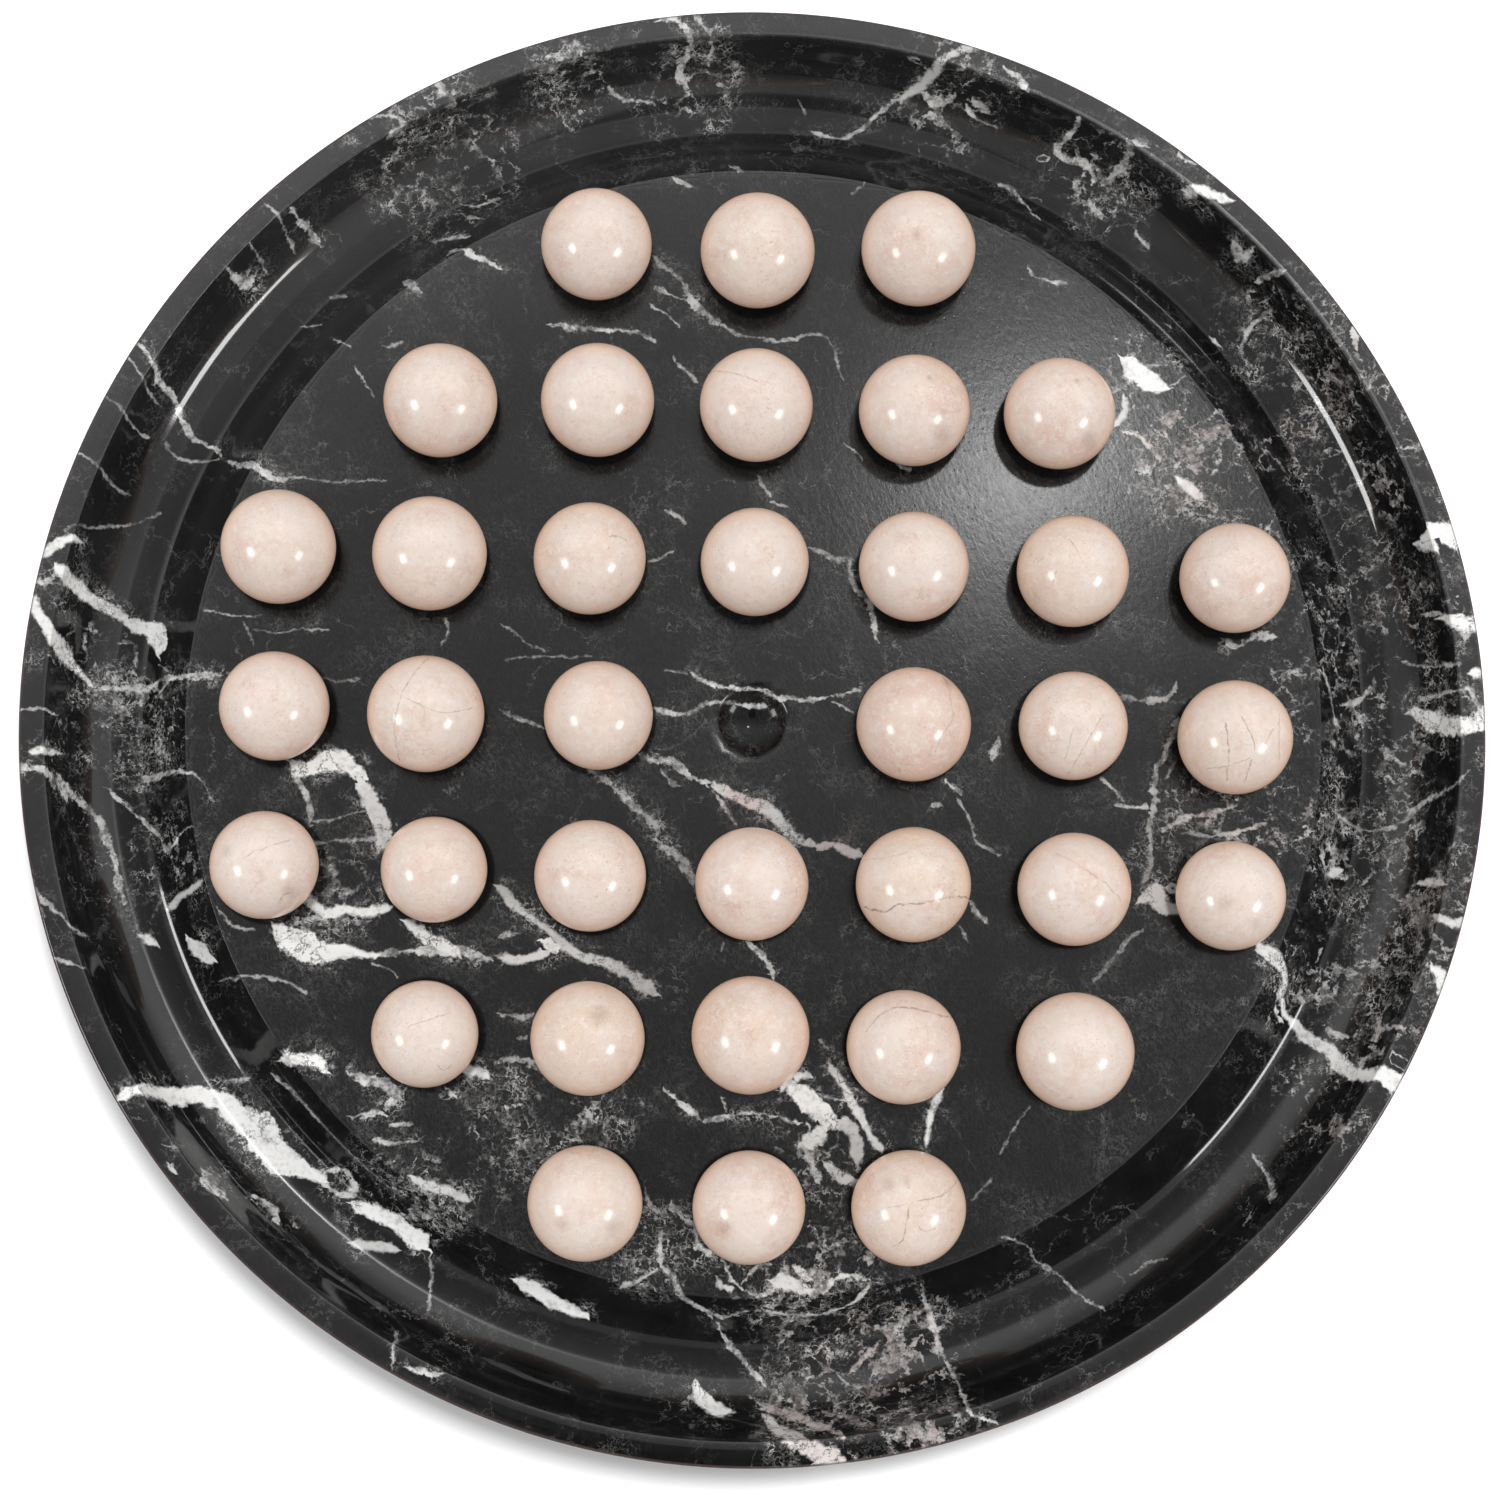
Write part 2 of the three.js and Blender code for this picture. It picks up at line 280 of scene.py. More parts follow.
VEINS_MIDDLE = (
    (0.7, (-25, 59, 0.7), (-22, 58), (-19, 55)),
    (0.7, (4, 62, 0.7), (9, 60)),
    (0.5, (-30, 45, 0.5), (-26, 46), (-22, 48)),
    (0.7, (15, 48, 1.3), (19, 47, 1.0), (23, 45, 1.5), (26, 46, 1.2), (26, 42, 1.1), (28, 37),
     (31, 34, 1.3), (32, 30, 1.1), (33, 26, 1.3), (34, 22, 0.9)),
    (0.5, (-71, 27, 0.7), (-66, 24), (-63, 21), (-59, 20), (-57, 18, 0.6)),
    (0.5, (-70, 17, 0.5), (-62, 18), (-50, 18), (-45, 18)),
    (0.8, (-18, 14, 0.5), (-16, 12, 0.6), (-10, 10, 0.7), (-5, 9, 0.8), (2, 9, 1.0), (5, 7, 1.3), (9, 6),
     (13, 6, 1.2), (18, 7, 1.1), (24, 8, 0.8), (29, 9, 0.7)),
    (0.7, (-28, 4, 0.9), (-26, 3), (-21, 2), (-18, 3), (-14, 5), (-10, 5), (-3, 5, 1.0), (3, 5)),
    (0.6, (21, 6, 0.5), (25, 4), (27, 2)),
    (0.4, (-26, 14, 0.4), (-18, 13)),
    (0.55, (-46, -13, 1.8), (-43, -15), (-39, -18, 1.9), (-35, -22), (-31, -25), (-27, -29), (-27, -33),
     (-24, -35), (-20, -39), (-17, -44), (-16, -48, 1.8)),
    (0.6, (-32, -9, 1.1), (-28, -11), (-24, -11, 1.3), (-21, -13, 1.4), (-17, -16, 1.6), (-13, -17, 1.8),
     (-10, -19, 1.9)),
    (0.55, (-11, -18, 2.0), (-8, -19, 3.0), (-4, -21, 2.4), (0, -23, 3.6), (4, -25, 3.0), (6, -27, 2.6),
     (9, -31, 3.0), (13, -33, 2.0)),
    (0.55, (13, -33, 1.6), (18, -35, 1.9), (21, -34, 1.8)),
    (0.6, (21, -34, 1.8), (25, -36, 3.0), (28, -37)),
    (0.6, (-26, -13, 1.0), (-23, -17), (-21, -18, 0.9)),
    (0.7, (-14, -17, 0.8), (-9, -23), (-6, -29, 0.7)),
    (0.7, (-70, 3, 1.4), (-66, 1, 1.3), (-61, -1, 1.1), (-58, -2, 0.9)),
    (0.6, (-70, -46, 3.2), (-65, -51, 2.4), (-61, -54, 1.6), (-56, -58, 1.9), (-52, -62, 2.6),
     (-47, -65, 1.9), (-42, -66, 2.6), (-36, -68, 2.8), (-32, -71, 3.6), (-28, -74, 4.2)),
    (0.7, (-70, -59, 1.4), (-65, -58, 1.3)),
    (0.8, (-70, -64, 2.2), (-64, -65, 2.4), (-58, -64), (-55, -61, 2.0)),
    (0.9, (-57, -61, 4.2), (-54, -62, 4.4)),
    (0.8, (-2, -61, 1.8), (2, -64, 1.5), (4, -68, 1.2), (5, -70, 1.0)),
    (0.5, (-9, -60, 0.5), (-10, -64)),
    (0.7, (67, -5, 2.2), (65, -10, 2.0)),
    (0.7, (53, -16, 1.4), (56, -20, 1.2)),
    (0.6, (55, -21, 0.7), (58, -26), (60, -32), (61, -34), (67, -37)),
    (0.6, (48, -23, 1.3), (51, -23)),
    (0.7, (58, -49, 1.3), (61, -53), (63, -55, 1.2)),
    (0.5, (56, -56, 0.8), (58, -61, 0.7)),
)

VEINS_RIGHT = (
    (0.6, (101, 7, 1.4), (108, 6), (115, 8), (116, 11, 1.3)),
    (0.5, (117, 1, 1.7), (114, -6), (111, -12), (110, -17), (110, -23), (108, -29), (108, -37, 1.6),
     (106, -44, 1.5)),
    (0.4, (116, -10, 0.7), (113, -16)),
    (0.6, (95, -15, 0.8), (98, -18), (101, -22)),
    (0.6, (99, -23, 0.8), (105, -23), (109, -23)),
    (0.7, (112, -30, 1.3), (117, -27, 1.4), (122, -26, 1.5), (128, -25, 1.4), (133, -23, 1.2)),
    (0.6, (117, -31, 1.1), (129, -31, 1.3), (141, -28, 1.1)),
    (1.0, (106, -49, 3.6), (110, -47, 4.4), (111, -51, 4.0), (115, -51, 3.6), (117, -53, 2.4)),
    (0.9, (138, -62, 3.6), (142, -65, 3.2), (145, -68, 2.6), (146, -71, 2.3), (144, -76, 2.0)),
    (1.0, (186, 51, 4.5), (191, 52, 5.4), (193, 48, 4.0)),
    (0.9, (185, 50, 2.6), (188, 47, 2.4)),
    (1.0, (191, 28, 3.6), (194, 27, 4.4), (199, 26, 4.0)),
    (0.8, (194, 26, 1.8), (195, 22, 1.6)),
    (0.7, (187, 31, 1.1), (191, 28)),
    (0.9, (196, 13, 2.2), (199, 13, 2.4)),
    (1.0, (184, 4, 3.2), (187, 3, 4.0), (190, 0, 4.4), (193, -2, 5.0), (198, -1, 4.6), (199, 2, 3.0)),
    (0.7, (186, 8, 0.8), (190, 8), (196, 9), (197, 5), (199, 2)),
    (0.7, (182, 18, 0.9), (188, 16), (194, 15)),
    (0.6, (195, -14, 1.0), (190, -19), (186, -22), (183, -25), (179, -28), (172, -29), (167, -28),
     (161, -24, 0.9)),
    (0.5, (178, -7, 0.8), (183, -11, 0.7)),
    (0.6, (174, 14, 1.4), (174, 11), (169, 7), (163, 5, 1.2)),
    (0.5, (158, 16, 0.9), (161, 6), (163, -1)),
    (0.7, (160, -41, 2.6), (163, -40, 2.4)),
    (0.8, (184, -44, 2.2), (187, -45)),
    (0.7, (185, -54, 2.2), (190, -56, 2.4), (193, -55, 2.0)),
    (0.9, (184, -68, 3.2), (186, -71, 3.6), (185, -75, 3.0)),
    (0.6, (157, -62, 1.3), (156, -66, 1.2)),
    (0.6, (130, 23, 1.9), (134, 21), (138, 24), (144, 24, 1.7)),
    (0.4, (106, -57, 0.8), (102, -60), (98, -65), (92, -72, 0.7)),
)

VEINS_FRONT_LEFT = (
    (1.0, (-170, -102, 2.8), (-165, -100, 2.4), (-162, -101), (-158, -102, 4.5), (-153, -102, 5.2),
     (-147, -104), (-141, -108, 6.5), (-136, -112, 9.5), (-132, -117), (-127, -121, 7.0),
     (-122, -123, 4.0), (-118, -125, 2.6)),
    (0.8, (-119, -125, 1.4), (-115, -128), (-111, -129), (-109, -127), (-111, -124), (-114, -122),
     (-118, -123, 1.3)),
    (1.0, (-109, -132, 4.2), (-103, -134, 4.4), (-98, -137), (-93, -140, 5.4), (-91, -142, 6.0)),
    (1.0, (-128, -92, 3.8), (-123, -92, 4.0), (-119, -93), (-117, -95, 3.2)),
    (0.8, (-110, -96, 1.9), (-105, -98), (-101, -99), (-97, -102), (-100, -104, 1.6)),
    (0.7, (-110, -108, 1.3), (-104, -107), (-100, -107, 1.2)),
    (0.6, (-99, -110, 0.9), (-93, -110)),
    (0.6, (-104, -114, 0.8), (-98, -115), (-91, -114, 0.7)),
    (0.6, (-93, -124, 2.2), (-88, -126, 2.4), (-83, -127), (-78, -130, 2.0)),
    (0.7, (-136, -129, 1.4), (-131, -132), (-129, -136, 1.3)),
    (0.6, (-126, -136, 0.8), (-124, -138)),
    (0.9, (-148, -122, 1.9), (-146, -125), (-142, -129, 1.7)),
    (0.6, (-110, -142, 2.4), (-104, -143, 2.6), (-98, -144, 2.2)),
    (0.4, (-89, -146, 0.9), (-88, -153), (-89, -160, 0.8)),
    (0.6, (-96, -164, 0.8), (-97, -174)),
    (0.8, (-93, -173, 1.4), (-89, -174), (-83, -175, 1.2)),
    (0.5, (-132, -96, 0.9), (-126, -101), (-121, -107), (-118, -109, 0.8)),
    (0.5, (-146, -98, 0.8), (-142, -98), (-138, -97, 0.7)),
    (0.9, (-79, -95, 2.6), (-75, -96), (-73, -97, 2.2)),
    (0.7, (-84, -100, 1.7), (-81, -102, 1.6)),
    (0.7, (-158, -115, 1.5), (-155, -116)),
    (0.7, (-157, -120, 1.4), (-155, -122)),
)

VEINS_FRONT = (
    (0.7, (-70, -80, 0.9), (-64, -81), (-60, -80, 0.8)),
    (0.6, (-65, -87, 0.6), (-62, -86)),
    (0.8, (-69, -93, 1.7), (-66, -92), (-61, -93), (-58, -96, 1.5)),
    (0.8, (-25, -100, 1.3), (-22, -103), (-18, -106), (-15, -109, 1.1)),
    (0.8, (-15, -109, 1.0), (-9, -108, 1.1), (-2, -107), (4, -108), (9, -109), (12, -110, 1.0)),
    (0.7, (-10, -102, 0.9), (-9, -103), (-8, -108)),
    (1.0, (7, -100, 2.6), (11, -97, 2.8), (14, -97, 2.2)),
    (1.0, (9, -99, 3.8), (12, -102, 5.0), (15, -105, 5.6), (18, -108, 6.0), (21, -110, 5.0)),
    (1.0, (18, -111, 5.0), (16, -113), (13, -115, 3.4)),
    (0.7, (18, -109, 3.0), (24, -110, 3.6), (27, -114), (27, -120, 3.0)),
    (0.8, (14, -110, 1.6), (14, -116), (15, -121), (17, -125, 1.4)),
    (0.9, (19, -121, 3.2), (22, -124, 3.6), (26, -125, 3.0)),
    (0.7, (17, -87, 1.1), (20, -90)),
    (0.9, (20, -94, 2.0), (22, -97, 2.2), (25, -102), (27, -106), (29, -109), (31, -113), (34, -117, 1.8)),
    (0.6, (16, -102, 0.8), (22, -103), (26, -103)),
    (0.9, (50, -101, 2.2), (48, -106, 1.9), (47, -111, 1.5), (46, -116, 1.0)),
    (0.8, (-23, -131, 1.8), (-20, -135), (-17, -137), (-16, -142), (-12, -145, 1.6)),
    (0.5, (-30, -127, 1.2), (-28, -132), (-23, -135, 1.1)),
    (0.7, (-26, -138, 1.1), (-26, -144), (-26, -148)),
    (0.6, (-26, -148, 0.9), (-23, -150), (-20, -156), (-14, -160), (-9, -162), (-2, -160, 0.8)),
    (0.5, (-26, -148, 0.8), (-31, -151), (-37, -153, 0.7)),
    (0.8, (-9, -146, 1.7), (-7, -151), (-3, -155), (2, -156), (5, -153), (11, -154), (17, -155),
     (21, -151), (26, -150, 1.6), (30, -152, 1.5)),
    (0.7, (-11, -151, 1.4), (-9, -154), (-4, -153), (0, -148), (4, -147, 1.2)),
    (0.8, (5, -152, 3.8), (8, -152, 4.2), (14, -154, 3.2)),
    (0.8, (11, -148, 2.0), (14, -151, 2.2)),
    (0.7, (28, -146, 1.7), (31, -144), (30, -147, 1.5)),
    (0.7, (30, -152, 1.1), (28, -156), (24, -159), (14, -161), (2, -160, 1.0)),
    (0.7, (-14, -160, 1.1), (-11, -163), (-9, -167), (-5, -172), (-2, -176), (3, -181, 1.0)),
    (1.0, (-65, -152, 2.8), (-61, -154, 4.4), (-56, -158, 3.6), (-51, -160, 3.0), (-46, -162, 2.2)),
    (1.0, (-16, -180, 2.4), (-15, -183, 4.0), (-11, -186, 2.8), (-6, -187, 1.2)),
    (0.7, (-2, -183, 1.3), (4, -186), (8, -187), (17, -190), (23, -192, 1.2)),
    (0.9, (2, -188, 2.0), (6, -191, 2.8), (11, -194, 3.6), (16, -196, 4.4), (22, -198, 4.6)),
    (0.8, (45, -153, 1.1), (46, -158), (49, -165, 1.2), (50, -171), (53, -176), (55, -181), (56, -185),
     (59, -187), (64, -188, 1.1)),
    (0.7, (25, -177, 1.1), (30, -173), (34, -169, 1.0)),
    (0.6, (12, -174, 0.9), (17, -171), (20, -168, 0.8)),
    (0.3, (64, -124, 0.5), (58, -131)),
)

VEINS_FRONT_RIGHT = (
    (0.9, (145, -76, 2.1), (146, -80, 1.6), (150, -83, 2.2), (153, -87, 2.6), (158, -90, 3.4),
     (161, -93, 4.4), (163, -96), (167, -97, 2.8), (169, -96, 4.0), (172, -99, 5.6), (173, -100, 5.0)),
    (0.8, (144, -79, 2.4), (145, -82)),
    (0.7, (168, -89, 1.3), (170, -90), (167, -92), (165, -95, 1.2)),
    (0.7, (169, -88, 0.9), (172, -84), (175, -85)),
    (0.6, (158, -84, 0.8), (161, -86), (164, -87)),
    (0.5, (171, -80, 0.6), (170, -85), (168, -88)),
    (0.5, (152, -105, 0.9), (154, -101)),
    (0.6, (137, -118, 0.7), (140, -123), (140, -128), (139, -131)),
    (0.5, (131, -138, 0.5), (135, -133)),
    (0.6, (66, -140, 0.6), (72, -142), (77, -147), (83, -151), (88, -156), (92, -159), (95, -160)),
    (0.4, (102, -151, 0.4), (107, -148), (113, -147)),
    (0.3, (66, -118, 0.4), (71, -110), (75, -105)),
)


def with_widths(turns):
    """The turns of a route, each with its width."""
    filled = []
    for x, y, *width in turns:
        filled.append((x, y, width[0] if width else filled[-1][2]))
    return filled


VEINS = [(tone, *with_widths(turns)) for tone, *turns in (
    VEINS_LEFT + VEINS_LEFT_PLATEAU + VEINS_BACK_LEFT + VEINS_BACK + VEINS_BACK_RIGHT
    + VEINS_MIDDLE + VEINS_RIGHT + VEINS_FRONT_LEFT + VEINS_FRONT + VEINS_FRONT_RIGHT)]

# Lacework spreads this far from a wide vein, and this much of it shows
HALO = 5.0
HALO_LACE = 0.30

# A corner stores the vein that comes nearest its face, if that is within this reach
VEIN_REACH = 6.0
NO_VEIN = (50.0, 0.0, 0.0)
ROUTE_STEP = 2.0
END_TAPER = 0.6

# Parts of the stone with lacework or speckle: x, y, radius, how much, how pink
ZONES = (
    (-173, -1, 15, 0.7, 0.0),
    (-165, -38, 14, 0.6, 0.0),
    (-188, 20, 10, 0.5, 0.1),
    (-90, 161, 19, 0.7, 0.1),
    (-54, 183, 10, 0.6, 0.0),
    (-20, 185, 14, 0.5, 0.1),
    (55, 180, 14, 0.6, 0.1),
    (100, 158, 14, 0.6, 0.0),
    (121, 76, 18, 0.9, 0.9),
    (108, 96, 12, 0.8, 0.2),
    (148, 110, 16, 0.47, 0.2),
    (164, 95, 11, 0.62, 0.7),
    (150, 82, 12, 0.55, 0.7),
    (177, 68, 16, 0.55, 0.3),
    (140, 45, 15, 0.47, 0.5),
    (148, 9, 12, 0.55, 0.2),
    (172, 30, 20, 0.55, 0.3),
    (175, 0, 22, 0.55, 0.1),
    (170, -35, 20, 0.55, 0.2),
    (129, -28, 15, 0.7, 0.7),
    (143, -25, 12, 0.62, 0.6),
    (186, -50, 16, 0.62, 0.5),
    (160, -75, 18, 0.55, 0.2),
    (152, -104, 10, 0.55, 0.3),
    (160, -113, 8, 0.62, 0.8),
    (178, -86, 10, 0.62, 0.6),
    (110, -45, 10, 0.47, 0.1),
    (-50, -104, 18, 0.4, 0.0),
    (-66, -115, 13, 0.4, 0.0),
    (-115, -50, 15, 0.6, 0.0),
    (-95, -130, 16, 0.5, 0.0),
    (20, -115, 14, 0.6, 0.1),
    (8, -150, 18, 0.8, 0.3),
    (13, -181, 11, 0.9, 0.8),
    (36, -172, 18, 0.8, 0.7),
    (20, -194, 14, 0.8, 0.6),
    (45, -193, 12, 0.7, 0.7),
    (-28, -140, 14, 0.4, 0.0),
    (-4, -23, 7, 0.0, 0.9),
    (25, -36, 7, 0.0, 1.0),
)

# Greyer stretches of stone: x, y, radius in millimetres and how grey, 0 to 1
HAZES = (
    (-20, 172, 40, 0.45),
    (-70, 158, 42, 0.55),
    (-112, 130, 40, 0.55),
    (-145, 95, 34, 0.35),
    (-168, 50, 26, 0.25),
    (40, 172, 34, 0.35),
    (95, 150, 30, 0.25),
    (-90, 172, 28, 0.55),
    (-65, 183, 26, 0.45),
    (20, 190, 34, 0.30),
)


class Value:
    """What a node gives out. Arithmetic on it adds the math nodes that work it out."""

    def __init__(self, graph, socket):
        self.graph = graph
        self.socket = socket

    def __add__(self, other):
        return self.graph.math("ADD", self, other)

    def __sub__(self, other):
        return self.graph.math("SUBTRACT", self, other)

    def __rsub__(self, other):
        return self.graph.math("SUBTRACT", other, self)

    def __mul__(self, other):
        return self.graph.math("MULTIPLY", self, other)

    def __truediv__(self, other):
        return self.graph.math("DIVIDE", self, other)

    def __abs__(self):
        return self.graph.math("ABSOLUTE", self)


class Graph:
    """A short way to write the nodes of a material or of the world."""

    def __init__(self, owner):
        self.owner = owner
        owner.use_nodes = True
        self.nodes = owner.node_tree.nodes
        self.links = owner.node_tree.links
        self.nodes.clear()
        self.place = self.add("TexCoord", "Object", {})

    def put(self, socket, value):
        """Sets a socket, or links it when the value comes from another node."""
        if isinstance(value, Value):
            self.links.new(value.socket, socket)
        else:
            socket.default_value = value

    def add(self, kind, output, inputs, **settings):
        """Adds a node with those inputs and settings, and gives back that output of it."""
        node = self.nodes.new("ShaderNode" + kind)
        for name, value in settings.items():
            setattr(node, name, value)
        for key, value in inputs.items():
            self.put(node.inputs[key], value)
        return Value(self, node.outputs[output])

    def attribute(self, name, output="Vector"):
        return self.add("Attribute", output, {}, attribute_name=name)

    def split(self, vector):
        node = self.nodes.new("ShaderNodeSeparateXYZ")
        self.put(node.inputs[0], vector)
        return [Value(self, part) for part in node.outputs]

    def math(self, operation, a, b=0.0):
        return self.add("Math", 0, {0: a, 1: b}, operation=operation)

    def larger(self, a, b):
        return self.math("MAXIMUM", a, b)

    def smaller(self, a, b):
        return self.math("MINIMUM", a, b)

    def ramp(self, value, low, high, out_low=0.0, out_high=1.0):
        """Smoothly takes value from low..high to out_low..out_high; low may lie above high."""
        if low > high:
            low, high, out_low, out_high = high, low, out_high, out_low
        inputs = {"Value": value, "From Min": low, "From Max": high}
        inputs.update({"To Min": out_low, "To Max": out_high})
        return self.add("MapRange", "Result", inputs, interpolation_type="SMOOTHSTEP")

    def noise(self, output, per_metre, detail, roughness, where=None):
        inputs = {"Vector": where or self.place, "Scale": per_metre}
        inputs.update({"Detail": detail, "Roughness": roughness})
        return self.add("TexNoise", output, inputs)

    def three_noises(self, per_metre, detail, roughness, where=None):
        """Three unlike noises of one scale, each about -0.5 to 0.5."""
        return [part - 0.5 for part in self.split(self.noise("Color", per_metre, detail, roughness, where))]

    def stretched(self, scale, turn):
        """Object space in which textures are drawn out by scale, along axes turned about the upright."""
        inputs = {"Vector": self.place, "Rotation": (0, 0, turn), "Scale": scale}
        return self.add("Mapping", 0, inputs, vector_type="TEXTURE")

    def shaken(self, noise, amount):
        """Object space shaken about by a coloured noise, up to about amount in metres."""
        centred = self.add("VectorMath", 0, {0: noise, 1: (0.5, 0.5, 0.5)}, operation="SUBTRACT")
        inputs = {0: centred, 1: (amount, amount, amount), 2: self.place}
        return self.add("VectorMath", 0, inputs, operation="MULTIPLY_ADD")

    def thread(self, noise, width):
        """Thin winding threads: where the noise crosses zero."""
        return self.ramp(abs(noise), width, width * 0.15)

    def cells(self, per_metre, where=None, feature="F1"):
        inputs = {"Vector": where or self.place, "Scale": per_metre}
        return self.add("TexVoronoi", "Distance", inputs, feature=feature)

    def net(self, per_metre, line, where):
        """Lines of a net whose meshes are irregular polygons; line is their width over the mesh size."""
        return self.ramp(self.cells(per_metre, where, "DISTANCE_TO_EDGE"), line, line * 0.25)

    def mix(self, factor, a, b):
        node = self.nodes.new("ShaderNodeMix")
        node.data_type = "RGBA"
        self.put(node.inputs["Factor"], factor)
        first, second = (socket for socket in node.inputs if socket.type == "RGBA")
        self.put(first, a)
        self.put(second, b)
        return Value(self, next(socket for socket in node.outputs if socket.type == "RGBA"))

    def bump(self, height, depth, strength):
        return self.add("Bump", 0, {"Strength": strength, "Distance": depth * MM, "Height": height})

    def principled(self, **inputs):
        shader = self.nodes.new("ShaderNodeBsdfPrincipled")
        output = self.nodes.new("ShaderNodeOutputMaterial")
        self.links.new(shader.outputs[0], output.inputs["Surface"])
        for name, value in inputs.items():
            self.put(shader.inputs[name.replace("_", " ")], value)
        return self.owner


def black_marble():
    """Black marble with white veins, placed by what draw_veins stores in the board's mesh."""
    g = Graph(bpy.data.materials.new("black_marble_veined"))
    wide_across, wide_half, wide_tone = g.split(g.attribute("vein_wide"))
    fine_across, fine_half, fine_tone = g.split(g.attribute("vein_fine"))
    lace, pink, honed = g.split(g.attribute("stone_zone"))
    haze = g.attribute("stone_haze", "Fac")
    slow_a, slow_b, slow_c = g.three_noises(60, 4, 0.62)
    mid_a, mid_b, mid_c = g.three_noises(190, 5, 0.7)
    grain_a, grain_b, grain_c = g.three_noises(700, 4, 0.72)
    flow = g.stretched((0.42, 1.0, 1.0), math.radians(24))
    wisp_a, wisp_b, wisp_c = g.three_noises(330, 4, 0.66, flow)

    # Bare black stone: faintly cloudy, with fine grey wisps that come and go
    stone = g.mix(g.ramp(slow_a, -0.12, 0.16), BLACK_STONE, CHARCOAL_STONE)
    stone = g.mix(honed * 0.4, stone, HONED_BLOOM)
    stone = g.mix(haze, stone, HAZE_STONE)
    patches = g.ramp(slow_c + lace * 0.3, -0.1, 0.14, 0.3, 1.0)
    wisps = g.larger(g.thread(wisp_a, 0.045), g.ramp(wisp_b, 0.02, 0.22) * 0.7)
    wisps = wisps * g.ramp(grain_a, -0.2, 0.1, 0.3, 1.0) * g.ramp(honed, 0.0, 0.8, 0.3, 1.0)
    stone = g.mix(wisps * patches * 0.2, stone, VEIN_GREY)
    shaken = g.shaken(g.noise("Color", 160, 4, 0.65), 0.014)
    hairs = g.net(30, 0.01, g.shaken(g.noise("Color", 70, 6, 0.68), 0.03)) * g.ramp(slow_b, -0.08, 0.1)
    stone = g.mix(hairs * g.ramp(mid_b, -0.14, 0.1) * 0.75, stone, VEIN_GREY)
    threads = g.thread(mid_a + slow_b * 0.8, 0.016)
    stone = g.mix(threads * g.ramp(slow_c, 0.0, 0.1) * 0.4, stone, VEIN_GREY)

    # Lacework and speckle, thicker where the zones call for it
    fine_grain = grain_b * 0.75 + wisp_c * 0.35
    cloud = fine_grain + mid_b * 0.9 + slow_a * 0.9
    speckle = g.ramp(cloud - (lace * -0.31 + 0.48), 0.0, 0.09)
    thick = g.ramp(mid_b + slow_b * 0.9, -0.1, 0.24, 0.015, 0.3) * lace
    ragged = grain_b * 0.3 + g.cells(125, shaken, "DISTANCE_TO_EDGE")
    bold_net = g.ramp(thick - ragged, -0.03, 0.05) * g.ramp(slow_c + lace * 0.2, -0.04, 0.1)
    small_net = g.net(310, 0.1, shaken) * g.ramp(slow_a, -0.02, 0.12)
    net = g.larger(bold_net, small_net) * g.ramp(grain_a, -0.2, 0.06, 0.25, 1.0)
    lace_mask = g.larger(speckle, net) * g.ramp(lace, 0.0, 0.2)
    whiteness = g.ramp(mid_a + grain_c * 0.9, -0.1, 0.2)
    lace_white = g.mix(whiteness, VEIN_GREY, VEIN_WHITE)
    pinkish = pink * g.ramp(slow_c, -0.12, 0.08)
    lace_colour = g.mix(pinkish * g.ramp(grain_a, -0.12, 0.12) * 0.8, lace_white, VEIN_PINK)
    stone = g.mix(lace_mask * 0.68, stone, lace_colour)

    # Thin veins, drawn as routes: they swell, thin out and nearly vanish along their way
    shift = slow_b * 3.4 + mid_a * 2.6 + grain_a * 1.5
    fine_off = abs(fine_across + shift)
    swell = g.ramp(mid_b + slow_c * 0.6, -0.16, 0.16, 0.15, 1.6)
    fine_edge = fine_half * swell - fine_off + grain_b * 0.9
    fine_mask = (g.ramp(fine_edge, -0.34, 0.26) * g.ramp(fine_half, 0.0, 0.12)
                 * g.ramp(mid_c + grain_c * 0.7, -0.16, 0.1, 0.22, 1.0))
    fine_colour = g.mix(fine_tone * g.ramp(mid_a, -0.18, 0.12, 0.4, 1.0), VEIN_GREY, VEIN_WHITE)
    fine_colour = g.mix(pinkish * 0.7, fine_colour, VEIN_PINK)
    stone = g.mix(fine_mask, stone, fine_colour)

    # Wide veins: ragged white bands, cloudy at the edge, with dark cracks left inside
    spread = wide_half * 1.9 + 0.9
    tear = mid_b * spread + grain_a * 1.5
    wide_off = abs(slow_b * 3.4 + wide_across)
    wide_edge = wide_half - wide_off + tear
    wide_mask = g.ramp(wide_edge, -0.45, 0.55) * g.ramp(wide_half, 0.0, 0.25)
    cracks = g.thread(mid_c, 0.03) * g.ramp(slow_c, -0.04, 0.08)
    wide_colour = g.mix(g.ramp(mid_a + grain_b * 0.7, -0.05, 0.3, 0.0, 0.55), VEIN_WHITE, VEIN_GREY)
    wide_colour = g.mix(1.0 - wide_tone, wide_colour, VEIN_GREY)
    wide_colour = g.mix(pinkish * 0.7, wide_colour, VEIN_PINK)
    stone = g.mix(wide_mask * (1.0 - cracks * 0.85), stone, wide_colour)

    # Rusty stains where the stone turns pink
    stains = g.ramp(slow_a + mid_b * 0.6, 0.04, 0.18) * pink
    stone = g.mix(stains * 0.22, stone, VEIN_OCHRE)

    # The very edge of the rim is coloured a brownish line
    x, y, z = g.split(g.place)
    radius = g.math("SQRT", x * x + y * y)
    edge = g.ramp(radius, 0.199, 0.1997) * g.ramp(z, 0.0305, 0.0312)
    stone = g.mix(edge * 0.75, stone, EDGE_STONE)

    # Painted shade round each ball: the stone is painted dark and its reflections are dimmed, standing in
    # for the ball's shade and the reflection of its dark underside
    painted_ball_shade = g.ramp(g.attribute("ball_distance", "Fac"), *BALL_PAINTED_SHADE_REACH)
    stone = g.mix(painted_ball_shade * 0.6, stone, BLACK_STONE)

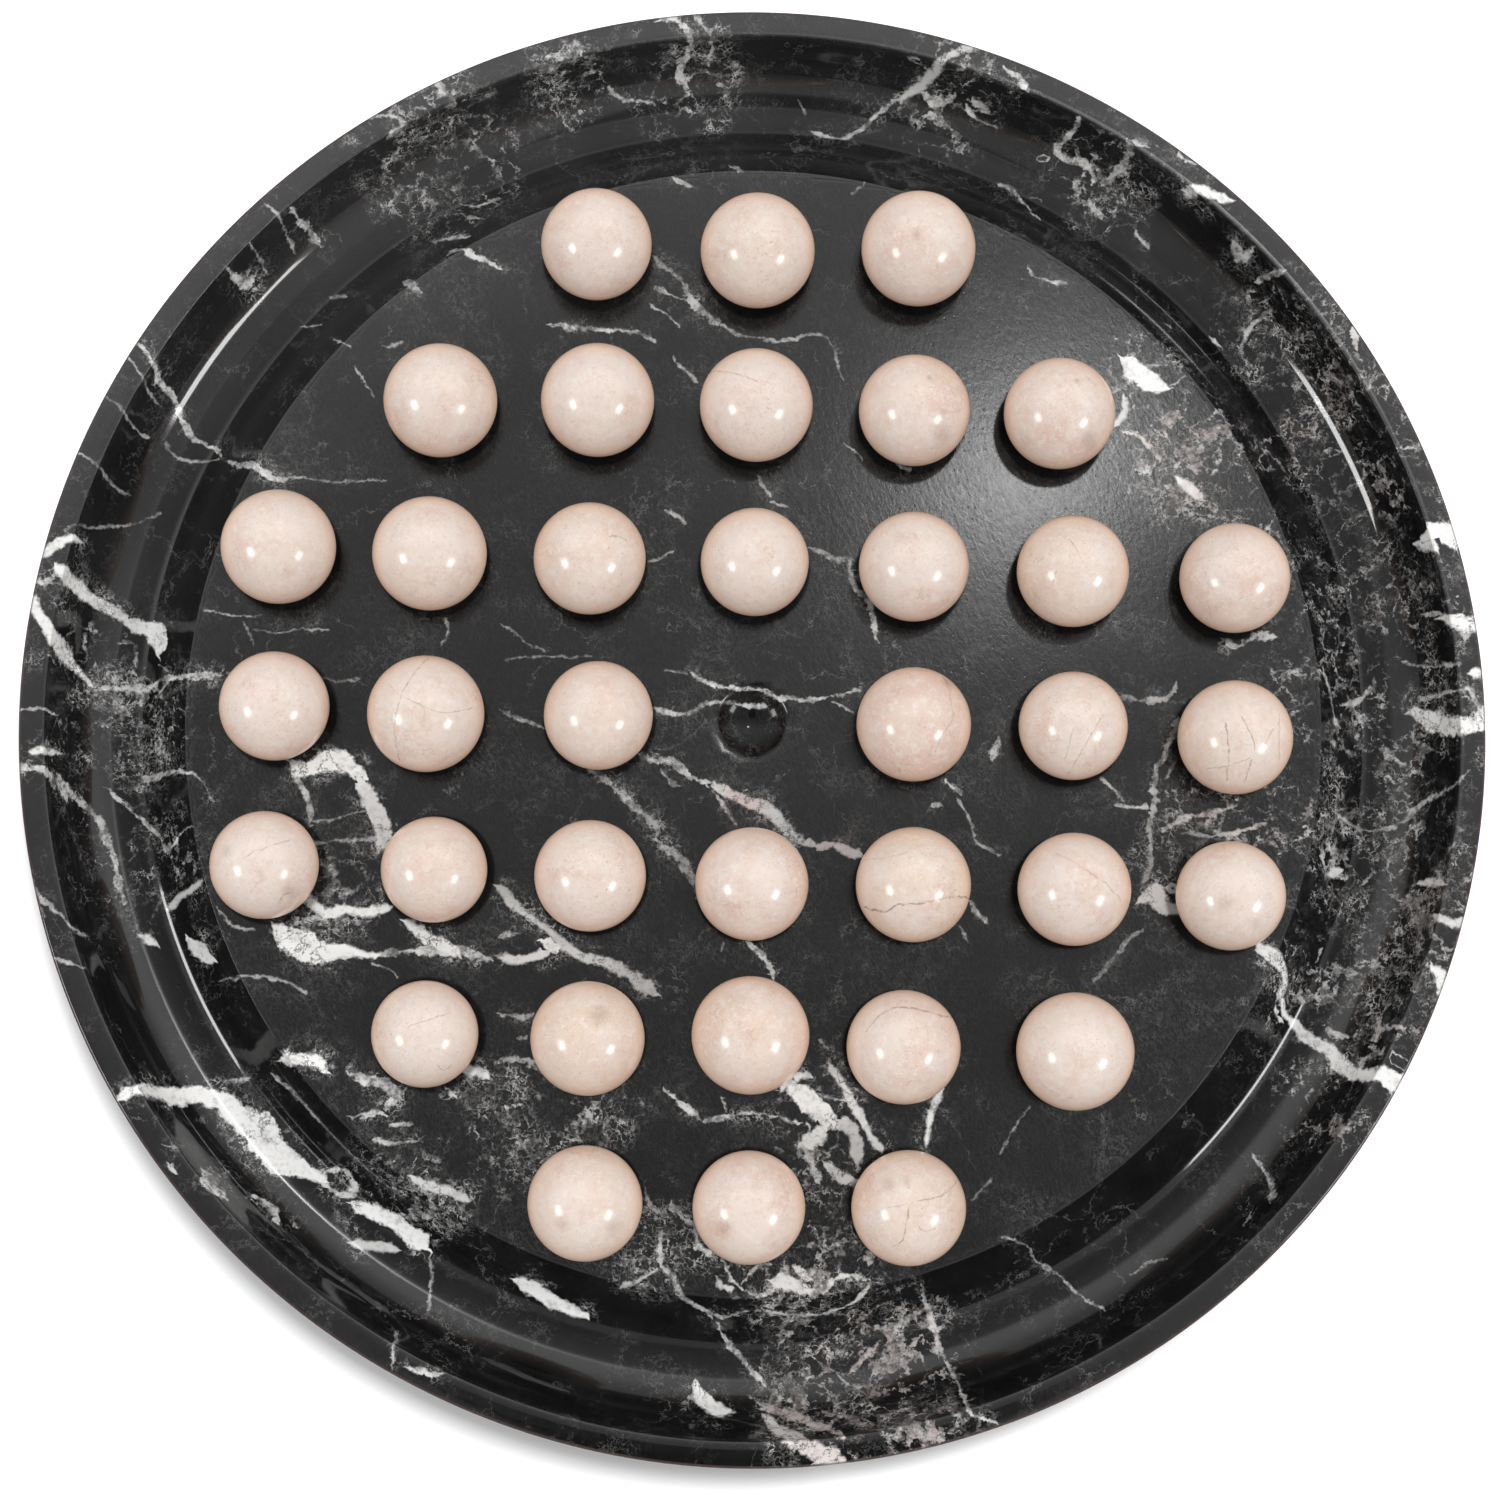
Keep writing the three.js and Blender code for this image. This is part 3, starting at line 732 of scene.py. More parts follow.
    # Dull at the bottom of the groove and on the rim's inner edge, and less shiny in the bowls
    floor_distance = abs(radius - GROOVE_CENTRE_RADIUS * MM)
    turned = g.ramp(floor_distance, GROOVE_TURNED * MM, 0.0025)
    arris_distance = abs(radius - (RIM_INNER_RADIUS + 0.3) * MM)
    arris = g.ramp(arris_distance, 0.0014, 0.0006) * g.ramp(z, 0.0295, 0.0305)
    dulled = g.larger(turned, arris * 0.5)
    polish = dulled * 0.42 + g.ramp(honed, 0.0, 1.0, 0.07, 0.16)
    roughness = polish + slow_c * 0.04 + wisp_b * 0.08
    pits = g.ramp(g.cells(420), 0.18, 0.05) * -0.35
    relief = wisp_a * 0.9 + grain_c * 0.6 + pits
    from_bowl = abs(honed - BOWL_HONED)
    shine = g.smaller(g.ramp(honed, 0.4, 0.9, 0.5, 0.33), g.ramp(turned, 0.0, 1.0, 0.5, 0.24))
    shine = g.smaller(shine, g.ramp(from_bowl, 0.03, 0.09, 0.2, 0.5))
    # The painted shade round each ball dims the stone's reflections there too
    shine = shine * g.ramp(painted_ball_shade, 0.0, 1.0, 1.0, 0.25)
    return g.principled(Base_Color=stone, Roughness=roughness, Specular_IOR_Level=shine,
                        Normal=g.bump(relief * honed, RELIEF, 1.0))


def ball_marble():
    """Polished pinkish marble, which differs from ball to ball by what mark_ball stores."""
    g = Graph(bpy.data.materials.new("pink_marble_polished"))
    tint, warmth, freckle = g.split(g.attribute("ball_tone"))
    crack_across, crack_half, crack_dark = g.split(g.attribute("ball_crack"))
    spot = g.attribute("ball_spot", "Fac")
    slow_a, slow_b, slow_c = g.three_noises(75, 4, 0.6)
    grain_a, grain_b, grain_c = g.three_noises(480, 4, 0.65)
    fleck_a, fleck_b, _ = g.three_noises(1500, 3, 0.6)
    facing = g.add("LayerWeight", "Facing", {"Blend": 0.42})

    # Cloudy colour, finely mottled, with painted light towards the edge as the camera sees it: a brighter,
    # warmer colour stands in for light scattered in the stone and evens out the shading
    stone = g.mix(g.ramp(tint * 0.22 + slow_a, 0.02, 0.3), BALL_PALE, BALL_ROSY)
    stone = g.mix(g.ramp(slow_b, -0.1, 0.14) * warmth * 0.75, stone, BALL_SANDY)
    stone = g.mix(g.ramp(grain_a, 0.0, 0.14) * 0.44, stone, BALL_ROSY)
    stone = g.mix(g.ramp(grain_b, 0.0, 0.14) * 0.5, stone, BALL_MILKY)
    stone = g.mix(g.ramp(fleck_a, 0.04, 0.16) * 0.35, stone, BALL_MILKY)
    stone = g.mix(g.ramp(fleck_b, 0.06, 0.18) * g.ramp(slow_c, -0.1, 0.1) * 0.22, stone, BALL_BROWN)
    stone = g.mix(g.ramp(facing, 0.22, 0.95) * 0.92, stone, BALL_EDGE_PAINTED_GLOW)

    # A faint web, dots, freckles and brown spots
    web = g.thread(grain_c * 0.25 + slow_c, 0.012) * g.ramp(slow_a, 0.02, 0.12)
    stone = g.mix(web * 0.22, stone, BALL_BROWN)
    dots = g.ramp(g.cells(800), 0.16, 0.08) * g.ramp(grain_c, 0.02, 0.12)
    stone = g.mix(dots * 0.35, stone, BALL_BROWN)
    specks = g.ramp(g.cells(620), 0.2, 0.1) * g.ramp(slow_b + grain_a, 0.02, 0.16)
    stone = g.mix(specks * freckle * 0.45, stone, BALL_BROWN)
    stone = g.mix(spot * g.ramp(grain_b, -0.25, 0.1, 0.3, 1.0), stone, BALL_BROWN)

    # Natural cracks
    wobble = slow_a * 1.6 + grain_a * 1.5
    crack_off = abs(crack_across + wobble)
    crack_width = crack_half * g.ramp(grain_b, -0.2, 0.2, 0.3, 1.6)
    crack = (g.ramp(crack_width - crack_off, -0.16, 0.08) * g.ramp(crack_half, 0.0, 0.05) * crack_dark
             * g.ramp(grain_c, -0.16, 0.08, 0.2, 1.0))
    stone = g.mix(crack, stone, BALL_CRACK)
    relief = grain_a * freckle * 0.4 - crack
    return g.principled(Base_Color=stone, Roughness=0.2, Specular_IOR_Level=0.5, Coat_Weight=0.2,
                        Coat_Roughness=0.13, Normal=g.bump(relief, RELIEF, 0.6))


def felt_cloth():
    """Black felt."""
    g = Graph(bpy.data.materials.new("felt_black"))
    fuzz = g.noise("Fac", 1800, 4, 0.7)
    wool = g.mix(g.ramp(fuzz, 0.35, 0.7), (0.008, 0.008, 0.009, 1), (0.03, 0.029, 0.031, 1))
    return g.principled(Base_Color=wool, Roughness=0.95, Sheen_Weight=0.4, Sheen_Roughness=0.5,
                        Normal=g.bump(fuzz, FUZZ, 0.6))


def pale_floor():
    """Pale paper for the studio floor."""
    g = Graph(bpy.data.materials.new("studio_floor"))
    cloud = g.ramp(g.noise("Fac", 9, 3, 0.55), 0.3, 0.7)
    paper = g.mix(cloud, (0.93, 0.93, 0.93, 1), (0.95, 0.95, 0.95, 1))
    return g.principled(Base_Color=paper, Roughness=0.9, Specular_IOR_Level=0.1)


def new_object(name, mesh, material):
    for polygon in mesh.polygons:
        polygon.use_smooth = True
    mesh.materials.append(material)
    piece = bpy.data.objects.new(name, mesh)
    bpy.context.scene.collection.objects.link(piece)
    return piece


def arc(centre, radius, start, end, steps):
    """Points round an arc in the section's plane; angles in degrees from straight down."""
    points = []
    for i in range(steps + 1):
        angle = math.radians(start + (end - start) * i / steps)
        points.append((centre[0] + radius * math.sin(angle), centre[1] - radius * math.cos(angle)))
    return points


def straight(start, end, steps):
    """The points between two ends, without the ends themselves."""
    return [tuple(a + (b - a) * i / steps for a, b in zip(start, end)) for i in range(1, steps)]


def ring_of_vertices(mesh, radius, height, count, centre=(0, 0)):
    ring = []
    for i in range(count):
        angle = math.tau * i / count
        x = centre[0] + radius * math.cos(angle)
        y = centre[1] + radius * math.sin(angle)
        ring.append(mesh.verts.new((x, y, height)))
    return ring


def bridge(mesh, first, second):
    """Faces between two rings of as many vertices."""
    for i in range(len(first)):
        j = (i + 1) % len(first)
        mesh.faces.new((first[i], first[j], second[j], second[i]))


def close(mesh, ring, tip):
    """Faces from a ring to a vertex inside it."""
    for i in range(len(ring)):
        mesh.faces.new((ring[i], ring[(i + 1) % len(ring)], tip))


def finished(mesh, name):
    """The mesh as Blender's own, with its normals outwards."""
    bmesh.ops.recalc_face_normals(mesh, faces=mesh.faces)
    data = bpy.data.meshes.new(name)
    mesh.to_mesh(data)
    mesh.free()
    return data


def place(piece, body, replaced):
    """Lets a piece ride on a CAD body in place of a CAD node."""
    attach(piece, body)
    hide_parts(replaced)


def board_section(low, high, outer):
    """Board outline from the middle of the underside to the plateau's edge, in (radius, height)."""
    groove_middle = (GROOVE_CENTRE_RADIUS, GROOVE_FLOOR + GROOVE_SECTION_RADIUS)
    groove = arc(groove_middle, GROOVE_SECTION_RADIUS, GROOVE_OUTER_ANGLE, -GROOVE_INNER_ANGLE, 16)
    rim_ease = arc((RIM_INNER_RADIUS + RIM_INNER_EASE, high - RIM_INNER_EASE), RIM_INNER_EASE, 180, 270, 4)
    edge_ease = arc((outer - RIM_OUTER_EASE, high - RIM_OUTER_EASE), RIM_OUTER_EASE, 90, 180, 5)
    points = [(outer * i / 6, low) for i in range(1, 6)]
    points += [(outer - FOOT_CHAMFER, low), (outer, low + FOOT_CHAMFER)]
    points += straight((outer, low + FOOT_CHAMFER), edge_ease[0], 9)
    points += edge_ease
    points += straight(edge_ease[-1], rim_ease[0], 3)
    points += rim_ease
    points += straight(rim_ease[-1], groove[0], 4)
    points += groove
    slope = math.radians(GROOVE_INNER_ANGLE)
    below_arris = (PLATEAU_RADIUS + ARRIS * math.cos(slope), PLATEAU_TOP - ARRIS * math.sin(slope))
    points += straight(groove[-1], below_arris, 5)
    points += [below_arris, (PLATEAU_RADIUS, PLATEAU_TOP), (PLATEAU_RADIUS - ARRIS, PLATEAU_TOP)]
    return points


def seat_centres():
    """Where the seats are: under each marble, plus the empty middle one."""
    centres = [Vector(EMPTY_SEAT)]
    for name in marble_names:
        low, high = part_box(name)
        middle = (low + high) / 2 / MM
        centres.append(Vector((middle.x, middle.y)))
    return centres


def plateau_points(centres):
    """Plateau points and the closed loops that bound its flat: the outer edge and the seat lips."""
    points = []
    loops = []
    for middle, radius, count in ([(Vector((0, 0)), PLATEAU_RADIUS - ARRIS, LATHE_SEGMENTS)]
                                  + [(c, SEAT_LIP_RADIUS + LIP_EASE, SEAT_SEGMENTS) for c in centres]):
        first = len(points)
        for i in range(count):
            angle = math.tau * i / count
            points.append(middle + radius * Vector((math.cos(angle), math.sin(angle))))
        loops.append([first + i for i in range(count)])
    row_height = PLATEAU_SPACING * math.sqrt(3) / 2
    rows = int(PLATEAU_RADIUS / row_height)
    for row in range(-rows, rows + 1):
        shift = PLATEAU_SPACING / 2 if row % 2 else 0
        columns = int(PLATEAU_RADIUS / PLATEAU_SPACING) + 1
        for column in range(-columns, columns + 1):
            point = Vector((column * PLATEAU_SPACING + shift, row * row_height))
            clear_of_edge = point.length < PLATEAU_RADIUS - 1.2
            clear_of_seats = all((point - c).length > SEAT_LIP_RADIUS + LIP_EASE + 1.0 for c in centres)
            if clear_of_edge and clear_of_seats:
                points.append(point)
    return points, loops


def build_board():
    low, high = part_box("board")
    outer = (high.x - low.x) / 2 / MM
    centres = seat_centres()
    mesh = bmesh.new()

    # Turned outside: underside, side, rim and groove
    hub = mesh.verts.new((0, 0, low.z / MM))
    rings = [ring_of_vertices(mesh, radius, height, LATHE_SEGMENTS)
             for radius, height in board_section(low.z / MM, high.z / MM, outer)]
    close(mesh, rings[0], hub)
    for inner_ring, outer_ring in zip(rings, rings[1:]):
        bridge(mesh, inner_ring, outer_ring)

    # Flat plateau between the groove and the seats
    points, loops = plateau_points(centres)
    edges = [(loop[i], loop[(i + 1) % len(loop)]) for loop in loops for i in range(len(loop))]
    flat_points, _, flat_faces, origins, _, _ = geometry.delaunay_2d_cdt(points, edges, [], 0, 1e-6)
    placed = []
    for index, point in enumerate(flat_points):
        source = origins[index][0]
        on_edge = source < LATHE_SEGMENTS
        placed.append(rings[-1][source] if on_edge else mesh.verts.new((point.x, point.y, PLATEAU_TOP)))
    lips = [[None] * SEAT_SEGMENTS for _ in centres]
    for index, sources in enumerate(origins):
        source = sources[0] - LATHE_SEGMENTS
        if 0 <= source < SEAT_SEGMENTS * len(centres):
            lips[source // SEAT_SEGMENTS][source % SEAT_SEGMENTS] = placed[index]
    for face in flat_faces:
        middle = sum((flat_points[i] for i in face), Vector((0, 0))) / len(face)
        in_seat = any((middle - c).length < SEAT_LIP_RADIUS for c in centres)
        if not in_seat and middle.length < PLATEAU_RADIUS:
            mesh.faces.new([placed[i] for i in face])

    # Bowls under the marbles
    sphere_height = PLATEAU_TOP + math.sqrt(SEAT_SPHERE_RADIUS ** 2 - SEAT_LIP_RADIUS ** 2)
    lip_angle = math.asin((SEAT_LIP_RADIUS - 0.15) / SEAT_SPHERE_RADIUS)
    for centre, lip in zip(centres, lips):
        previous = lip
        section = [(SEAT_LIP_RADIUS + LIP_EASE * 0.4, PLATEAU_TOP - LIP_EASE * 0.22)]
        for ring in range(SEAT_RINGS):
            angle = lip_angle * (1 - ring / SEAT_RINGS)
            section.append((SEAT_SPHERE_RADIUS * math.sin(angle),
                            sphere_height - SEAT_SPHERE_RADIUS * math.cos(angle)))
        for radius, height in section:
            ring = ring_of_vertices(mesh, radius, height, SEAT_SEGMENTS, centre)
            bridge(mesh, previous, ring)
            previous = ring
        bottom = mesh.verts.new((centre.x, centre.y, sphere_height - SEAT_SPHERE_RADIUS))
        close(mesh, previous, bottom)

    bmesh.ops.scale(mesh, vec=(MM, MM, MM), verts=mesh.verts)
    data = finished(mesh, "board_stone")
    piece = new_object("board_stone", data, black_marble())
    draw_veins(data)
    place(piece, "board", "board")
    return piece


def smooth_route(turns):
    """A route through the turns, rounded off between them, as an array of (x, y, width)."""
    turns = np.array(turns, float)
    padded = np.vstack([2 * turns[0] - turns[1], turns, 2 * turns[-1] - turns[-2]])
    route = []
    for a, b, c, d in zip(padded, padded[1:], padded[2:], padded[3:]):
        steps = max(2, int(np.hypot(*(c - b)[:2]) / ROUTE_STEP))
        for i in range(steps):
            t = i / steps
            route.append(0.5 * (2 * b + (c - a) * t + (2 * a - 5 * b + 4 * c - d) * t * t
                                + (3 * b - a - 3 * c + d) * t ** 3))
    route.append(turns[-1])
    return np.array(route)


def across_route(points, route):
    """For each point: signed distance across the route, the route's half width there, and the
    distance beyond its edge."""
    start = route[:-1, None, :2]
    step = (route[1:, :2] - route[:-1, :2])[:, None, :]
    length = np.maximum((step ** 2).sum(2), 1e-9)
    along = ((points[None] - start) * step).sum(2) / length
    held = np.clip(along, 0, 1)
    offset = points[None] - (start + held[..., None] * step)
    distance = np.sqrt((offset ** 2).sum(2))
    nearest = distance.argmin(0)
    pick = (nearest, np.arange(len(points)))
    side = np.sign(step[..., 0] * offset[..., 1] - step[..., 1] * offset[..., 0])[pick]
    width = route[nearest, 2] + (route[nearest + 1, 2] - route[nearest, 2]) * held[pick]
    before_start = (nearest == 0) & (along[pick] < 0)
    after_end = (nearest == len(route) - 2) & (along[pick] > 1)
    half = width / 2 - END_TAPER * np.where(before_start | after_end, distance[pick], 0)
    return side * distance[pick], half, distance[pick] - half


def faces_from_above(mesh):
    """Vertex places in millimetres, each corner's vertex and face, and the faces' middles."""
    corner_vertex = np.zeros(len(mesh.loops), np.int32)
    mesh.loops.foreach_get("vertex_index", corner_vertex)
    flat = np.zeros(len(mesh.vertices) * 3, np.float32)
    mesh.vertices.foreach_get("co", flat)
    places = flat.reshape(-1, 3) / MM
    sizes = np.zeros(len(mesh.polygons), np.int32)
    mesh.polygons.foreach_get("loop_total", sizes)
    corner_face = np.repeat(np.arange(len(sizes)), sizes)
    middles = np.zeros((len(sizes), 2))
    np.add.at(middles, corner_face, places[corner_vertex][:, :2])
    return places, corner_vertex, corner_face, middles / sizes[:, None]


def store(mesh, name, kind, domain, values):
    attribute = mesh.attributes.new(name, kind, domain)
    key = "vector" if kind == "FLOAT_VECTOR" else "value"
    attribute.data.foreach_set(key, np.asarray(values, np.float32).ravel())


def near_route(points, route, reach):
    """Indices of the points inside the route's box, widened by reach."""
    inside = (points > route[:, :2].min(0) - reach) & (points < route[:, :2].max(0) + reach)
    return np.flatnonzero(inside.all(axis=1))


def nearest_veins(places, corner_vertex, corner_face, middles, veins):
    """For every face corner: how far across its face's nearest vein it is, the vein's half width
    there, and the vein's whiteness. A face keeps to one vein, so that a thin vein stays whole."""
    corners = places[corner_vertex][:, :2]
    stored = np.tile(NO_VEIN, (len(corners), 1))
    best = np.full(len(middles), VEIN_REACH)
    for tone, *turns in veins:
        route = smooth_route(turns)
        chosen = near_route(middles, route, max(turn[2] for turn in turns) + VEIN_REACH + 2)
        if not len(chosen):
            continue
        beyond = across_route(middles[chosen], route)[2]
        closer = beyond < best[chosen]
        best[chosen[closer]] = beyond[closer]
        taken = np.zeros(len(middles), bool)
        taken[chosen[closer]] = True
        mine = np.flatnonzero(taken[corner_face])
        across, half, _ = across_route(corners[mine], route)
        stored[mine] = np.column_stack([across, half, np.full(len(mine), tone)])
    return stored


def fade(places, x, y, radius, core):
    """1 near x, y and 0 from core radii away, for each place."""
    distance = np.hypot(places[:, 0] - x, places[:, 1] - y)
    return np.clip(core - distance / radius, 0, 1)


def draw_veins(mesh):
    """Stores in the board's mesh where its veins, lacework, pink, honed and hazy parts are, and how
    far each point is from the middle of the nearest ball."""
    places, corner_vertex, corner_face, middles = faces_from_above(mesh)
    wide = [vein for vein in VEINS if max(turn[2] for turn in vein[1:]) >= WIDE_FROM]
    fine = [vein for vein in VEINS if max(turn[2] for turn in vein[1:]) < WIDE_FROM]
    for layer, veins in (("vein_wide", wide), ("vein_fine", fine)):
        stored = nearest_veins(places, corner_vertex, corner_face, middles, veins)
        store(mesh, layer, "FLOAT_VECTOR", "CORNER", stored)

    lace = np.zeros(len(places))
    for tone, *turns in VEINS:
        route = smooth_route(turns)
        around = near_route(places[:, :2], route, HALO)
        if len(around):
            halo = np.clip(1 - across_route(places[around, :2], route)[2] / HALO, 0, 1)
            amount = HALO_LACE * min(1, max(turn[2] for turn in turns) / WIDE_FROM)
            lace[around] = np.maximum(lace[around], halo * amount * tone)
    pink = np.zeros(len(places))
    for x, y, radius, amount, pinkness in ZONES:
        inside = fade(places, x, y, radius, 1.4)
        lace = np.maximum(lace, inside * amount)
        pink = np.maximum(pink, inside * pinkness)

    from_centre = np.hypot(places[:, 0], places[:, 1])
    top = places[:, 2]
    within = from_centre < PLATEAU_RADIUS - 0.4
    parts = {
        PLATEAU_HONED: within & (top > PLATEAU_TOP - 0.05),
        LIP_HONED: within & (top > PLATEAU_TOP - 0.45),
        BOWL_HONED: within & (top > UNDERSIDE_TO),
        RIM_HONED: (from_centre > RIM_INNER_RADIUS + 1.2) & (top > RIM_TOP_FROM),
    }
    honed = np.select(list(parts.values()), list(parts), 0.0)
    store(mesh, "stone_zone", "FLOAT_VECTOR", "POINT", np.column_stack([lace, pink, honed]))

    haze = np.zeros(len(places))
    for x, y, radius, amount in HAZES:
        haze = np.maximum(haze, fade(places, x, y, radius, 1.5) * amount)
    store(mesh, "stone_haze", "FLOAT", "POINT", haze)

    # The empty seat comes first, and has no ball, so no painted shade round it
    from_balls = [np.hypot(places[:, 0] - x, places[:, 1] - y) for x, y in seat_centres()[1:]]
    store(mesh, "ball_distance", "FLOAT", "POINT", np.min(from_balls, axis=0))


# How each ball differs from the rest: rosiness, yellow warmth and freckles, each 0 to 1
BALL_USUAL = (0.30, 0.15, 0.25)
BALL_TONES = {
    "r1_c4": (0.40, 0.30, 0.80),
    "r2_c4": (0.05, 0.05, 0.45),
    "r2_c5": (0.45, 0.30, 0.20),
    "r2_c6": (0.50, 0.30, 0.20),
    "r3_c3": (0.45, 0.50, 0.90),
    "r3_c4": (0.25, 0.30, 0.10),
    "r3_c5": (0.25, 0.05, 0.50),
    "r3_c6": (0.20, 0.70, 0.40),
    "r3_c7": (0.40, 0.15, 0.15),
    "r4_c1": (0.10, 0.05, 0.50),
    "r4_c2": (0.25, 0.20, 0.25),
    "r4_c3": (0.45, 0.35, 0.15),
    "r4_c5": (0.80, 0.20, 0.25),
    "r4_c6": (0.05, 0.05, 0.35),
    "r4_c7": (0.55, 0.30, 0.25),
    "r5_c1": (0.10, 0.05, 0.25),
    "r5_c2": (0.60, 0.45, 0.30),
    "r5_c3": (0.15, 0.15, 1.00),
    "r5_c5": (0.20, 1.00, 0.45),
    "r6_c2": (0.05, 0.05, 0.35),
    "r6_c3": (0.50, 0.85, 0.80),
    "r6_c4": (0.45, 0.60, 0.30),
    "r7_c3": (0.30, 0.35, 0.30),
    "r7_c5": (0.40, 0.55, 0.80),
}

# Natural cracks on the balls' tops: how dark, then x, y in ball radii and the width in millimetres
BALL_CRACKS = {
    "r2_c4": (
        (0.5, (-0.82, 0.52, 0.20), (-0.39, 0.34, 0.24), (-0.15, 0.26, 0.30), (0.01, 0.18, 0.20)),
        (0.5, (0.06, -0.20, 0.22), (0.36, -0.39, 0.20)),
    ),
    "r3_c3": (
        (0.6, (0.33, 0.23, 0.25), (0.49, 0.26, 0.30), (0.68, 0.18, 0.22)),
        (0.3, (-0.87, -0.06, 0.25), (-0.70, 0.02, 0.20)),
    ),
    "r3_c6": (
        (0.6, (-0.20, 0.42, 0.22), (-0.09, 0.23, 0.22), (0.0, 0.04, 0.20)),
        (0.4, (-0.61, 0.12, 0.22), (-0.73, 0.0, 0.20)),
        (0.4, (-0.41, -0.14, 0.22), (-0.47, -0.35, 0.24), (-0.41, -0.43, 0.20)),
    ),
    "r3_c7": (
        (0.25, (-0.83, 0.23, 0.20), (-0.45, 0.26, 0.20), (-0.10, 0.10, 0.20), (0.20, 0.14, 0.20)),
    ),
    "r4_c2": (
        (0.5, (0.09, 0.91, 0.30), (-0.10, 0.64, 0.35), (-0.26, 0.32, 0.30), (-0.36, 0.13, 0.25),
         (-0.44, -0.27, 0.22), (-0.43, -0.53, 0.26), (-0.39, -0.86, 0.30)),
        (0.5, (-0.31, 0.16, 0.22), (-0.04, 0.05, 0.24), (0.28, -0.09, 0.24), (0.55, -0.08, 0.22),
         (0.87, 0.03, 0.20)),
        (0.4, (-0.58, 0.43, 0.20), (-0.34, 0.16, 0.22)),
    ),
    "r4_c5": (
        (0.35, (0.50, 0.78, 0.35), (0.59, 0.53, 0.35), (0.57, 0.36, 0.30), (0.62, 0.15, 0.35),
         (0.59, -0.09, 0.30), (0.38, -0.37, 0.30), (0.31, -0.61, 0.25)),
        (0.4, (-0.31, -0.78, 0.30), (-0.26, -0.89, 0.25)),
    ),
    "r4_c6": (
        (0.6, (0.49, 0.16, 0.18), (0.29, -0.13, 0.20), (0.12, -0.39, 0.20), (-0.06, -0.74, 0.20),
         (-0.17, -0.94, 0.18)),
        (0.4, (-0.12, -0.13, 0.18), (-0.19, -0.39, 0.18), (-0.26, -0.71, 0.18)),
        (0.2, (0.81, 0.37, 0.20), (0.84, 0.02, 0.20), (0.81, -0.27, 0.20)),
    ),
    "r4_c7": (
        (0.7, (-0.36, 0.18, 0.22), (-0.32, -0.10, 0.26), (-0.29, -0.60, 0.22), (-0.27, -0.85, 0.20)),
        (0.7, (-0.09, 0.26, 0.20), (0.02, 0.04, 0.24), (0.11, -0.16, 0.26), (0.13, -0.38, 0.20)),
        (0.7, (0.10, -0.46, 0.24), (0.07, -0.66, 0.24), (0.0, -0.85, 0.20)),
        (0.5, (0.63, 0.37, 0.20), (0.59, -0.04, 0.22), (0.63, -0.49, 0.20)),
        (0.5, (0.49, 0.07, 0.20), (0.35, -0.16, 0.22), (0.26, -0.29, 0.20)),
        (0.5, (-0.62, -0.62, 0.20), (-0.29, -0.59, 0.22), (0.10, -0.46, 0.22)),
    ),
    "r5_c1": (
        (0.5, (-0.25, 0.04, 0.20), (-0.03, 0.18, 0.24), (0.19, 0.25, 0.24), (0.57, 0.40, 0.18)),
        (0.5, (0.36, -0.72, 0.22), (0.44, -0.61, 0.28), (0.57, -0.53, 0.30)),
    ),
    "r5_c5": (
        (0.75, (-0.87, -0.40, 0.40), (-0.52, -0.51, 0.42), (-0.33, -0.41, 0.38), (0.10, -0.36, 0.42),
         (0.63, -0.24, 0.40), (0.98, -0.27, 0.45)),
        (0.3, (-0.92, 0.40, 0.22), (-0.55, 0.40, 0.22), (-0.12, 0.48, 0.20)),
    ),
    "r5_c6": (
        (0.5, (-0.44, 0.61, 0.18), (-0.18, 0.45, 0.22), (0.14, 0.24, 0.24), (0.39, 0.08, 0.26),
         (0.55, -0.08, 0.22), (0.79, -0.27, 0.20)),
    ),
    "r6_c2": (
        (0.5, (-0.25, 0.10, 0.20), (0.02, 0.21, 0.24), (0.24, 0.27, 0.22), (0.57, 0.40, 0.18)),
        (0.5, (0.30, -0.59, 0.24), (0.41, -0.70, 0.24), (0.57, -0.56, 0.24)),
    ),
    "r6_c5": (
        (0.6, (-0.71, 0.24, 0.20), (-0.50, 0.51, 0.30), (-0.23, 0.68, 0.32), (0.20, 0.66, 0.34),
         (0.57, 0.56, 0.36), (0.84, 0.51, 0.30)),
    ),
    "r7_c5": (
        (0.55, (0.86, 0.51, 0.24), (0.59, 0.29, 0.28), (0.32, 0.20, 0.30), (-0.05, 0.13, 0.28),
         (-0.11, -0.13, 0.30), (-0.19, -0.51, 0.28), (-0.37, -0.61, 0.24)),
        (0.35, (-0.44, 0.05, 0.24), (-0.05, 0.13, 0.24)),
        (0.35, (0.05, -0.20, 0.30), (0.20, -0.35, 0.35), (0.38, -0.30, 0.30)),
    ),
}

# Brown spots: x, y and size in ball radii, and strength
BALL_SPOTS = {
    "r1_c5": ((-0.12, -0.04, 0.10, 0.35),),
    "r2_c5": ((0.20, 0.36, 0.05, 0.6), (0.42, -0.60, 0.16, 0.30)),
    "r2_c6": ((0.20, 0.37, 0.05, 0.6), (0.43, -0.62, 0.14, 0.35)),
    "r4_c5": ((0.55, 0.66, 0.10, 0.4),),
    "r5_c1": ((-0.58, 0.20, 0.12, 0.25), (0.57, -0.53, 0.12, 0.35)),
    "r5_c7": ((-0.30, -0.20, 0.14, 0.30), (0.30, -0.55, 0.10, 0.25)),
    "r6_c3": ((0.22, 0.37, 0.18, 0.45),),
    "r7_c3": ((-0.35, -0.30, 0.12, 0.30), (0.50, -0.35, 0.14, 0.25)),
    "r7_c4": ((-0.45, -0.30, 0.14, 0.35), (0.10, 0.40, 0.10, 0.25)),
    "r7_c5": ((-0.40, 0.45, 0.10, 0.35), (-0.10, 0.50, 0.08, 0.30)),
}


